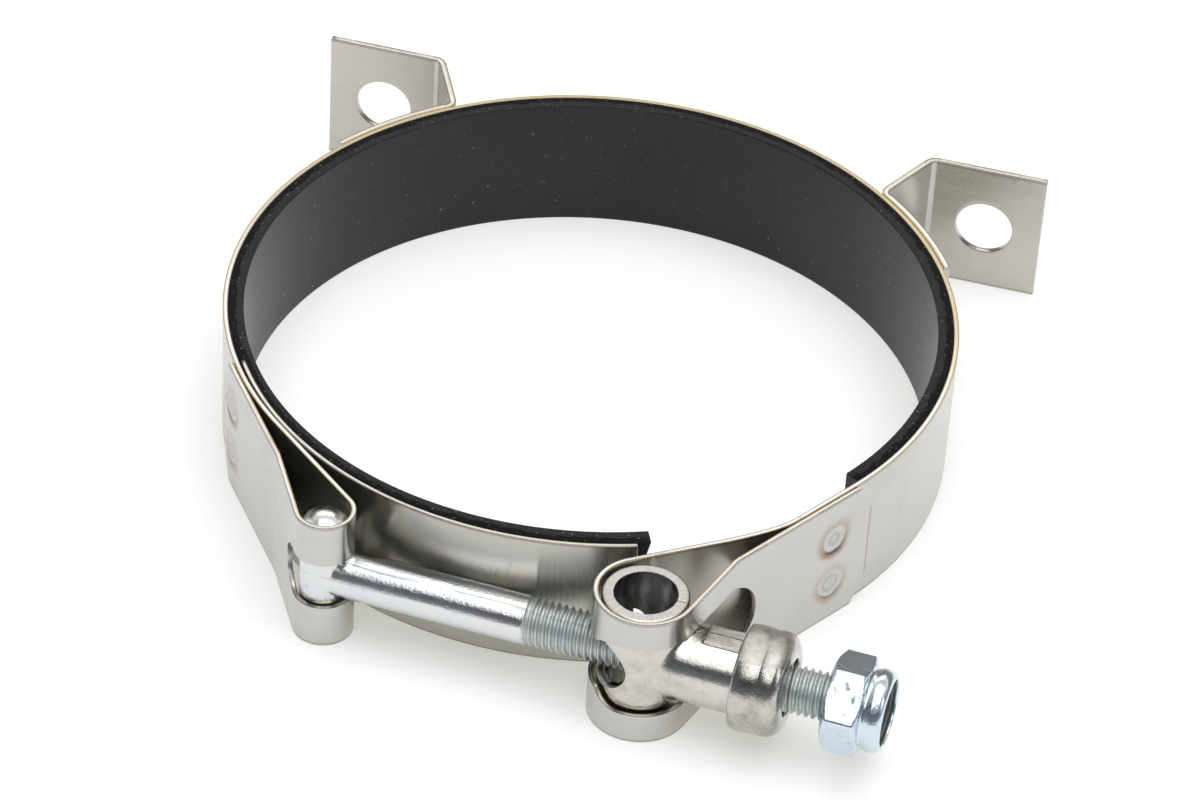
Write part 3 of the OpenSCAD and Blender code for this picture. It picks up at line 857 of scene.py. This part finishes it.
wide_slot = Slot(wide_at, starts[7] - PIVOT_SLOT_END, PIVOT_SLOT / 2)
left_weld_ang = LEFT_FLAP_ANG - math.degrees(LEFT_WELD / FLAP_R)
left_weld = (FLAP_R + BAND_T / 2) * ray(left_weld_ang)
right_weld = (FLAP_R + BAND_T / 2) * ray(RIGHT_FLAP_ANG) + RIGHT_WELD * ray(RIGHT_FLAP_ANG - 90)
welds = [
    (spot.x, spot.y, MID + side * WELD_STEP / 2) for spot in (right_weld, left_weld) for side in (1, -1)
]
band_steel = strip_steel("strip_steel", welds, band_line.length, painted_back_gold=0.65)
# The tabs' and the tongue's steel, darkened all over as painted shade.
shaded_tab_steel = strip_steel("tab_strip_steel_painted_shade", shade=TAB_PAINTED_SHADE)
shaded_tongue_steel = strip_steel("tongue_strip_steel_painted_shade", shade=TONGUE_PAINTED_SHADE)
liner_rubber = rubber()

left_weld_at = math.radians(LEFT_TAIL) * FLAP_R - LEFT_WELD
right_weld_at = band_line.length - math.radians(RIGHT_TAIL) * FLAP_R - RIGHT_WELD


def weld_dent(along, z):
    """Depth of the strip's outside at a weld: a shallow dish with a raised rim and an inner ring."""
    at = min((left_weld_at, right_weld_at), key=lambda spot: abs(spot - along))
    r = math.hypot(along - at, abs(z - MID) - WELD_STEP / 2) / (WELD_D / 2)
    if r > 1.5:
        return 0
    dish = WELD_DISH * (1 - smooth_step(0.72, 1.0, r))
    rim = WELD_RIM * smooth_step(0.85, 1.05, r) * (1 - smooth_step(1.05, 1.45, r))
    ring = WELD_RING * smooth_step(0.3, 0.45, r) * (1 - smooth_step(0.45, 0.62, r))
    return dish - rim - ring


weld_steps = math.ceil(WELD_ZONE / WELD_GRID)
weld_marks = [
    at + WELD_ZONE * i / weld_steps
    for at in (left_weld_at, right_weld_at)
    for i in range(-weld_steps, weld_steps + 1)
]
weld_low = (MID - WELD_STEP / 2 - WELD_ZONE) / MID
weld_high = (MID - WELD_STEP / 2 + WELD_ZONE) / MID
weld_rows = [weld_low + (weld_high - weld_low) * i / (2 * weld_steps) for i in range(2 * weld_steps + 1)]
band = strip(
    "band_strip",
    sheet_stations(band_line, BAND_T, (left_slot, narrow_slot, wide_slot), (BEVEL_L, BEVEL_L), weld_marks),
    rows=[0.0, weld_low / 2] + weld_rows + [1.0],
    dent=weld_dent,
)
dress(band, "ring", "strip_steel", band_steel, "band")


def arc_stations(a0, a1, inner, outer):
    """Stations of a ring piece whose faces are given as points by angle."""
    n = math.ceil((a1 - a0) / ARC_STEP)
    out = []
    for i in range(n + 1):
        a = a0 + (a1 - a0) * i / n
        out.append(Station(outer(a), inner(a), 0, WIDTH, 0, math.radians(a) * RING_R))
    return out


def sprung(a, radius):
    """Point at an angle on a circle about the tongue's own centre."""
    d = ray(a)
    run = TONGUE_C.dot(d)
    return d * (run + math.sqrt(radius**2 - TONGUE_C.length_squared + run**2))


tongue = strip(
    "tongue_strip",
    arc_stations(
        TONGUE_A0,
        TONGUE_A1,
        lambda a: TONGUE_C + TONGUE_IN * ray(a),
        lambda a: TONGUE_C + TONGUE_OUT * ray(a),
    ),
)
dress(tongue, "ring", "strip_steel", shaded_tongue_steel, "tongue")


def liner_back(a):
    """Outer face of the rubber: on the band, then over the tongue's end and along the tongue."""
    share = smooth_step(TONGUE_A0 - LINER_RAMP, TONGUE_A0, a)
    return ((RING_R - FIT) * ray(a)).lerp(sprung(a, TONGUE_IN - FIT), share)


liner = strip(
    "rubber_liner",
    arc_stations(
        RIGHT_FLAP_ANG + LINER_BACK,
        TONGUE_A1 + LINER_OVER,
        lambda a: BORE_R * ray(a),
        liner_back,
    ),
    edge=LINER_EDGE,
    lean=LINER_SLANT,
)
dress(liner, "ring", "rubber", liner_rubber, "liner")


def tab(name, side):
    """Mounting tab bent from one strip, on the right or mirrored to the left."""
    foot = Roller(Vector((0, 0)), BACK_Y + FIT + TAB_T / 2, 1)
    low_r = FOOT_R + TAB_T / 2
    top_r = PLATE_R + TAB_T / 2
    low = Roller((foot.radius + low_r) * ray(FOOT_A1), low_r, -1)
    top = Roller(Vector((low.centre.x + LEG_OUT, BACK_Y - TAB_T / 2 - top_r)), top_r, -1)
    tail = HOLE_X + HOLE_EDGE - top.centre.x
    line = Line([foot, low, top], math.radians(FOOT_A0 + 90), 0, tail)
    centre = line.length - HOLE_EDGE
    stations = sheet_stations(line, TAB_T, (Slot(centre, centre, HOLE_R),))
    flip = Vector((side, 1))
    stations = [st._replace(outer=st.outer * flip, inner=st.inner * flip) for st in stations]
    return strip(name, stations, edge=TAB_EDGE)


for side, node in ((1, "right_tab"), (-1, "left_tab")):
    dress(tab(node + "_plate", side), "ring", "strip_steel", shaded_tab_steel, node)

# Bolt, trunnion, cap and nut.


def bolt_place():
    """Matrix from the bolt's own frame, x along it, to the part's frame."""
    turn = Matrix.Rotation(math.atan2(BOLT_DIR.y, BOLT_DIR.x), 4, "Z")
    return Matrix.Translation((HEAD.x * MM, HEAD.y * MM, MID * MM)) @ turn


def pivot_place():
    """Matrix from the trunnion's frame, x along its neck, to the part's frame."""
    return Matrix.Translation((PIVOT.x * MM, PIVOT.y * MM, MID * MM)) @ bolt_place().to_3x3().to_4x4()


def join_rings(bm, rings):
    """Faces between rings of points; a ring of one point, repeated, makes a tip."""
    for a, b in zip(rings, rings[1:]):
        n = len(a)
        for k in range(n):
            corners = dict.fromkeys((a[k], a[(k + 1) % n], b[(k + 1) % n], b[k]))
            if len(corners) > 2:
                bm.faces.new(tuple(corners))


def loft(bm, rings):
    """Closed solid through rings of points."""
    join_rings(bm, rings)
    bm.faces.new(rings[0][::-1])
    bm.faces.new(rings[-1])


def ring_at(bm, place, z, polar):
    """Ring of points at a height of the place, from radius and angle pairs."""
    spots = [Vector((r * math.cos(a) * MM, r * math.sin(a) * MM, z * MM)) for r, a in polar]
    return [bm.verts.new(place @ spot) for spot in spots]


def revolve(bm, profile, steps, place):
    """Closed solid of revolution about the place's z axis, from radius and height pairs."""
    turns = [2 * math.pi * k / steps for k in range(steps)]
    rings = []
    for r, z in profile:
        if r == 0:
            rings.append([bm.verts.new(place @ Vector((0, 0, z * MM)))] * steps)
        else:
            rings.append(ring_at(bm, place, z, [(r, a) for a in turns]))
    join_rings(bm, rings)


def thread_radius(z, turn):
    """Radius of the bolt at a height and a share of a turn: shank, then a rounded vee thread."""
    run_in = max(0.0, min(1.0, (z - SHANK_L) / THREAD_IN))
    run_out = max(0.0, (z - (BOLT_L - THREAD_OUT)) / THREAD_OUT)
    wave = 0.5 - 0.5 * math.cos(2 * math.pi * (z / PITCH - turn))
    vee = min(1.0, 1.25 * wave**0.75)
    return BOLT_R - CREST_DOWN * run_in - THREAD_DEPTH * run_in * vee - END_DOWN * run_out


def threaded_shank(bm, place):
    """Shank and thread of the bolt, along the place's z axis."""
    rows = math.ceil((BOLT_L - SHANK_L) / PITCH * PITCH_ROWS)
    heights = [SHANK_L * i / SHANK_ROWS for i in range(SHANK_ROWS + 1)]
    heights += [SHANK_L + (BOLT_L - SHANK_L) * i / rows for i in range(1, rows + 1)]
    turns = [k / BOLT_STEPS for k in range(BOLT_STEPS)]
    rings = []
    for z in heights:
        polar = [(thread_radius(z, turn), 2 * math.pi * turn) for turn in turns]
        rings.append(ring_at(bm, place, z, polar))
    loft(bm, rings)


def solid(name, make, *args):
    """Plain object of a mesh that a function fills."""
    bm = bmesh.new()
    make(bm, *args)
    bmesh.ops.recalc_face_normals(bm, faces=bm.faces)
    return from_bmesh(name, bm)


def worked(obj):
    """Mesh of an object with its modifiers applied; the object goes."""
    bpy.context.view_layer.update()
    mesh = bpy.data.meshes.new_from_object(obj.evaluated_get(bpy.context.evaluated_depsgraph_get()))
    bpy.data.objects.remove(obj)
    return mesh


def combined(name, first, others, operation):
    """One closed mesh from an object and those joined to it or cut from it."""
    for other in others:
        step = first.modifiers.new("combine", "BOOLEAN")
        step.operation = operation
        step.object = other
        step.solver = "EXACT"
    mesh = worked(first)
    for other in others:
        bpy.data.objects.remove(other)
    bm = bmesh.new()
    bm.from_mesh(mesh)
    bpy.data.meshes.remove(mesh)
    return finished(bm, name)


# The rounded end of the bolt's head: share of its radius, and how far below the end.
HEAD_END = (
    (0, 0), (0.2, 0.03), (0.36, 0.11), (0.47, 0.24), (0.55, 0.41), (0.62, 0.53), (0.71, 0.62), (0.81, 0.75),
    (0.89, 0.93), (0.95, 1.15), (0.987, 1.4), (1, 1.65),
)


def bolt():
    """Threaded shank and its round cross head."""
    along = bolt_place() @ Matrix.Rotation(math.pi / 2, 4, "Y")
    upper = [(BOLT_R * share, HEAD_L / 2 - down) for share, down in HEAD_END]
    profile = upper + [(r, -z) for r, z in reversed(upper)]
    shank = solid("shank", threaded_shank, along)
    head = solid("head", revolve, profile, BOLT_STEPS, bolt_place())
    return combined("t_bolt_threaded", shank, [head], "UNION")


def block(bm, low, high, place):
    """Box between two corners."""
    made = bmesh.ops.create_cube(bm, size=1)["verts"]
    for v in made:
        v.co = place @ (Vector([h if c > 0 else l for c, l, h in zip(v.co, low, high)]) * MM)


def ease(mesh, weights, rounds):
    """Smooths a mesh, each vertex by its weight."""
    count = len(mesh.vertices)
    co = np.empty(count * 3)
    mesh.vertices.foreach_get("co", co)
    co = co.reshape(-1, 3)
    ends = np.empty(len(mesh.edges) * 2, int)
    mesh.edges.foreach_get("vertices", ends)
    a, b = ends.reshape(-1, 2).T
    links = np.bincount(a, minlength=count) + np.bincount(b, minlength=count)
    for _ in range(rounds):
        mean = [np.bincount(a, co[b, k], count) + np.bincount(b, co[a, k], count) for k in range(3)]
        co += EASE_STEP * weights[:, None] * (np.stack(mean, 1) / links[:, None] - co)
    mesh.vertices.foreach_set("co", co.ravel())


def clear_of_slot(mesh, place):
    """Draws the soft corner in where it is in the band's slot, so that the trunnion can turn."""
    back = place.inverted()
    for v in mesh.vertices:
        x, y, z = (back @ v.co) / MM
        out = math.hypot(x, y) - BARREL_R
        if x > 0 and CORNER_FROM < out < CORNER_TO:
            room = PIVOT_SLOT / 2 - CORNER_GAP + max(0, CORNER_IN - out) * CORNER_FLARE
            v.co = place @ (Vector((x, y, max(-room, min(room, z)))) * MM)


def entry_slot(bm, place):
    """Cutter for the long hole, with round ends, round the barrel's back."""
    middle = math.radians(ENTRY_ANG)
    marks = [(middle * i / 16, ENTRY_H / 2) for i in range(17)]
    for a in range(6, 91, 6):
        beyond = math.asin(ENTRY_H / 2 * math.sin(math.radians(a)) / BARREL_R)
        marks.append((middle + beyond, ENTRY_H / 2 * math.cos(math.radians(a)) + 0.01))
    marks = [(-a, half) for a, half in reversed(marks[1:])] + marks
    rows = []
    for a, half in marks:
        out = Vector((-math.cos(a), math.sin(a), 0))
        corners = ((2.4, -half), (7, -half), (7, half), (2.4, half))
        rows.append([bm.verts.new(place @ ((out * r + Vector((0, 0, z))) * MM)) for r, z in corners])
    loft(bm, rows)


def trunnion():
    """Barrel and neck folded from one sheet, with soft corners between them, then its bores and seam."""
    place = pivot_place()
    along = place @ Matrix.Rotation(math.pi / 2, 4, "Y")
    top = MID - BARREL_IN
    rim = [(0, top), (BARREL_R - 0.3, top), (BARREL_R - 0.09, top - 0.09), (BARREL_R, top - 0.3)]
    barrel = rim + [(r, -z) for r, z in reversed(rim)]
    low = PIVOT_SLOT / 2 - WEB_GAP
    high = NECK_R + WEB_UP

    def skin(bm):
        revolve(bm, barrel, TRUNNION_STEPS, place)
        neck = [(0, 0), (NECK_R, 0), (NECK_R, NECK_END), (0, NECK_END)]
        revolve(bm, neck, TRUNNION_STEPS, along)
        block(bm, (WEB_FROM, -SHEET_T, -high), (CAP_AT - FIT, SHEET_T, high), place)
        block(bm, (0, -SHEET_T, -low), (WEB_FROM + 0.5, SHEET_T, low), place)

    outer = solid("trunnion_skin", skin)
    step = outer.modifiers.new("one_skin", "REMESH")
    step.mode = "VOXEL"
    step.voxel_size = SKIN_VOXEL * MM
    mesh = worked(outer)
    local = np.array([(place.inverted() @ v.co) / MM for v in mesh.vertices])
    from_barrel = abs(np.hypot(local[:, 0], local[:, 1]) - BARREL_R)
    from_neck = abs(np.hypot(local[:, 1], local[:, 2]) - NECK_R)
    near_barrel = np.clip(1.25 - from_barrel / CORNER_REACH, 0, 1)
    near_neck = np.clip(1.25 - from_neck / CORNER_REACH, 0, 1)
    ease(mesh, np.full(len(local), 0.8), 4)
    ease(mesh, near_barrel * near_neck * (local[:, 0] > 0), 160)
    clear_of_slot(mesh, place)
    body = placed("trunnion_blank", mesh)
    bore = BARREL_R - SHEET_T
    barrel_bore = [(0, -MID), (bore, -MID), (bore, MID), (0, MID)]
    neck_bore = [(0, 0.5), (NECK_BORE_R, 0.5), (NECK_BORE_R, NECK_PAST), (0, NECK_PAST)]
    cutters = [
        solid("barrel_bore", revolve, barrel_bore, TRUNNION_STEPS, place),
        solid("neck_bore", revolve, neck_bore, TRUNNION_STEPS, along),
        solid("entry", entry_slot, place),
        solid("seam", block, (2.5, -SLIT / 4, -MID), (NECK_PAST, SLIT / 4, MID), place),
    ]
    return combined("trunnion_body", body, cutters, "DIFFERENCE")


def cap():
    """Drawn cap: two soft bulges with a waist between them, a rounded end and its hole."""
    start = pivot_place() @ Matrix.Translation((CAP_AT * MM, 0, 0))
    along = start @ Matrix.Rotation(math.pi / 2, 4, "Y")
    inner, shoulder = NECK_R + FIT, CAP_L - CAP_ROUND
    outer = CAP_R - CAP_SHOULDER
    middle, half = CAP_WAIST / 2 + 0.1, CAP_WAIST / 2 - 0.25
    profile = [(inner, 0), (CAP_R - 0.42, 0), (CAP_R - 0.2, 0.09)]
    for z in np.linspace(middle - half, middle + half, 11):
        profile.append((CAP_R - 0.13 * ((z - middle) / half) ** 2, z))
    profile += [(CAP_R - 0.19, CAP_WAIST - 0.05), (CAP_R - 0.19, CAP_WAIST + 0.05)]
    for z in np.linspace(CAP_WAIST + 0.2, shoulder, 7)[:-1]:
        profile.append((outer - 0.09 * ((shoulder - z) / (shoulder - CAP_WAIST)) ** 2, z))
    for turn in np.radians(np.linspace(0, 90, 10)):
        profile.append((outer - CAP_ROUND * (1 - math.cos(turn)), shoulder + CAP_ROUND * math.sin(turn)))
    profile += [(NECK_BORE_R, CAP_L), (NECK_BORE_R, CAP_L - CAP_END), (inner, CAP_L - CAP_END), (inner, 0)]
    bm = bmesh.new()
    revolve(bm, profile, CAP_STEPS, along)
    bmesh.ops.remove_doubles(bm, verts=bm.verts, dist=1e-7)
    return finished(bm, "cap_shell", 0.1, angle=60)


def seal():
    """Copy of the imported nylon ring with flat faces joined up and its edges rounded."""
    bm = bmesh.new()
    bm.from_mesh(frame["nodes"]["nylon_insert"].data)
    bmesh.ops.remove_doubles(bm, verts=bm.verts, dist=2e-6)
    bmesh.ops.dissolve_limit(bm, angle_limit=math.radians(1.0), verts=bm.verts, edges=bm.edges)
    return finished(bm, "nut_seal", SEAL_EDGE, angle=35, segments=3)


def hex_side(off):
    """Distance of the hexagon's side from its axis, with rounded corners, by the angle from a corner."""
    off = math.radians(abs(off))
    centre = (NUT_AF / 2 - NUT_ROUND) / math.cos(math.pi / 6)
    if off < math.atan2(NUT_ROUND / 2, centre + NUT_ROUND * math.cos(math.pi / 6)):
        return centre * math.cos(off) + math.sqrt(NUT_ROUND**2 - (centre * math.sin(off)) ** 2)
    return NUT_AF / 2 / math.cos(math.pi / 6 - off)


# Angles from a corner of the hexagon to the next side's middle, closer together at the corner.
HEX_HALF = (0.5, 1.1, 1.7, 2.3, 2.9, 3.6, 6, 10, 15, 20, 25)
HEX_TURNS = tuple(-a for a in reversed(HEX_HALF)) + (0,) + HEX_HALF + (30,)
# Turned radii: by height above the nut's face, below the hexagon's top and below the collar's end.
HEX_BOTTOM = (
    (0, 5.25), (0.03, 5.36), (0.1, 5.48), (0.2, 5.64), (0.32, 5.84), (0.45, 6.06), (0.6, 6.3), (0.8, 6.6),
)
HEX_TOP = (
    (0.7, 6.6), (0.5, 6.3), (0.36, 6.06), (0.24, 5.84), (0.12, 5.62), (0.02, 5.4), (-0.05, 5.22),
    (-0.1, 5.12),
)
COLLAR = (
    (2.4, 5.02), (2.1, 5.08), (1.8, 5.21), (1.5, 5.25), (1.15, 5.24), (0.85, 5.19), (0.55, 5.08),
    (0.28, 4.9), (0.1, 4.7), (0, 4.45),
)


def nut():
    """Lock nut: a hexagon with rounded corners, a rolled collar, the seal's seat and the bore."""
    face = bolt_place() @ Matrix.Translation(((NUT_FACE - HEAD).length * MM, 0, 0))
    place = face @ Matrix.Rotation(math.pi / 2, 4, "Y")
    rows = [(SEAT_AT, NUT_BORE_R), (0.5, NUT_BORE_R), (0, NUT_BORE_R + 0.5)] + list(HEX_BOTTOM)
    rows += [(HEX_H - down, r) for down, r in HEX_TOP] + [(NUT_H - down, r) for down, r in COLLAR]
    rows += [(NUT_H, LIP_R + 0.1), (NUT_H - 0.1, LIP_R), (LIP_AT, LIP_R)]
    rows += [(LIP_AT, SEAT_R), (SEAT_AT, SEAT_R)]
    bm = bmesh.new()
    rings = []
    for z, most in rows:
        polar = [
            (min(most, hex_side(off)), math.radians(NUT_TURN + 60 * corner + off))
            for corner in range(6)
            for off in HEX_TURNS
        ]
        rings.append(ring_at(bm, place, z, polar))
    join_rings(bm, rings + rings[:1])
    return finished(bm, "nut_body")


bolt_zinc = zinc("bolt_zinc", BOLT_ZINC, tint=0.35, rough=0.13, spots=0.35, pitted=0.5, patches=190)
nut_zinc = zinc("nut_zinc", NUT_ZINC, tint=0.08, rough=0.12, spots=0.85, pitted=0.35, patches=230)
trunnion_steel = bright_steel("trunnion_steel", BRIGHT_LIGHT, BRIGHT_DULL)
# The cap's steel is darkened as painted shade.
shaded_cap_steel = bright_steel("shaded_cap_steel", CAP_LIGHT_PAINTED_SHADE, CAP_DULL_PAINTED_SHADE)
dress(bolt(), "bolt", "zinc", bolt_zinc, "t_bolt")
dress(trunnion(), "trunnion", "bright_steel", trunnion_steel, "trunnion")
dress(cap(), "trunnion", "bright_steel", shaded_cap_steel, "trunnion_cap")
dress(nut(), "nut", "zinc", nut_zinc, "lock_nut")
dress(seal(), "nut_ring", "nylon", nylon(), "nylon_insert")

# Floor, light and camera.
FLOOR_SIZE = 8
FLOOR_DOWN = 0.02
FLOOR_BASE = (0.66, 0.665, 0.72, 1)
FLOOR_WARM = (1, 0.985, 0.85, 1)
FLOOR_GLOW = 0.4

# The room before and behind the clamp: brightness by the sine of the height angle, and warmth.
FRONT_SKY = ((0.0, 0.34), (0.12, 0.26), (0.35, 0.17), (0.58, 0.12), (0.68, 0.14), (0.9, 0.55))
BACK_SKY = (
    (0.0, 0.34), (0.25, 0.27), (0.5, 0.22), (0.58, 0.9), (0.66, 1.25), (0.74, 0.75), (0.88, 0.7),
    (0.92, 1.4), (0.955, 1.4), (0.98, 0.6),
)
FRONT_WARMTH = -0.1
BACK_WARMTH = 0.03

# Soft lights: name, place, what they point at, size, watts.
SOFTBOXES = (
    ("top_softbox", (0.12, -0.32, 0.75), (0.12, -0.32, 0), (0.8, 1.16), 5.2),
    ("back_softbox", (-0.16, 0.69, 0.56), (0, 0, 0), (0.6, 0.16), 0.6),
    ("left_softbox", (-0.7, -0.25, 0.45), (0, 0, 0), (0.3, 0.4), 0.4),
    ("right_softbox", (0.75, -0.2, 0.4), (0, 0, 0), (0.25, 0.4), 0.5),
)

# The photograph's viewpoint: place, view direction, the picture's right, sensor and focal length.
CAMERA_AT = (0.11637, -0.48297, 0.39975)
CAMERA_LOOK = (-0.18035, 0.76080, -0.62341)
CAMERA_RIGHT = (0.96186, 0.26893, 0.04993)
CAMERA_SENSOR = 36
CAMERA_LENS = 143.86


def floor():
    """Pale plane with a faint warm glow, which keeps it white and its shadows warm."""
    bpy.ops.mesh.primitive_plane_add(size=FLOOR_SIZE, location=(0, 0, -FLOOR_DOWN * MM))
    obj = bpy.context.object
    obj.name = "floor"
    g = Graph(bpy.data.materials.new("pale_floor"))
    path = g.node("ShaderNodeLightPath").outputs
    seen = path["Is Camera Ray"]
    for kind in ("Is Glossy Ray", "Is Transmission Ray"):
        seen = g.math("MAXIMUM", seen, path[kind])
    g.set(Base_Color=FLOOR_BASE, Roughness=0.9, Specular_IOR_Level=0.1)
    g.set(Emission_Color=FLOOR_WARM, Emission_Strength=g.times(seen, FLOOR_GLOW))
    obj.data.materials.append(g.owner)


def world():
    """White to the camera; a softer gradient, darker near the horizon, for light and reflections."""
    g = Graph(bpy.data.worlds.new("studio"), "Background")
    scene.world = g.owner
    _, y, z = g.split(g.node("ShaderNodeTexCoord").outputs["Generated"])
    skies = []
    for stops, warm in ((FRONT_SKY, FRONT_WARMTH), (BACK_SKY, BACK_WARMTH)):
        ramp = g.node("ShaderNodeValToRGB", {"Fac": z})
        set_ramp(ramp, [(spot, grey(value, warm)) for spot, value in stops])
        skies.append(ramp.outputs[0])
    room = g.mix(g.span(y, -0.25, 0.25, smooth=False), *skies)
    to_camera = g.node("ShaderNodeLightPath").outputs["Is Camera Ray"]
    g.set(Color=g.mix(to_camera, room, (1, 1, 1, 1)))


def softbox(name, place, target, size, watts):
    """Soft rectangular light that points at a place."""
    light = bpy.data.lights.new(name, "AREA")
    light.shape = "RECTANGLE"
    light.size, light.size_y = size
    light.energy = watts
    obj = placed(name, light)
    obj.location = place
    obj.rotation_euler = (Vector(target) - Vector(place)).to_track_quat("-Z", "Y").to_euler()


def camera():
    """The photograph's viewpoint."""
    data = bpy.data.cameras.new("camera")
    data.sensor_width = CAMERA_SENSOR
    data.lens = CAMERA_LENS
    obj = placed("camera", data)
    forward = Vector(CAMERA_LOOK).normalized()
    right = Vector(CAMERA_RIGHT)
    right = (right - forward * right.dot(forward)).normalized()
    up = right.cross(forward)
    turn = Matrix((right, up, -forward)).transposed().to_4x4()
    obj.matrix_world = Matrix.Translation(CAMERA_AT) @ turn
    scene.camera = obj


scene.view_settings.view_transform = "Standard"
floor()
world()
for box in SOFTBOXES:
    softbox(*box)
camera()
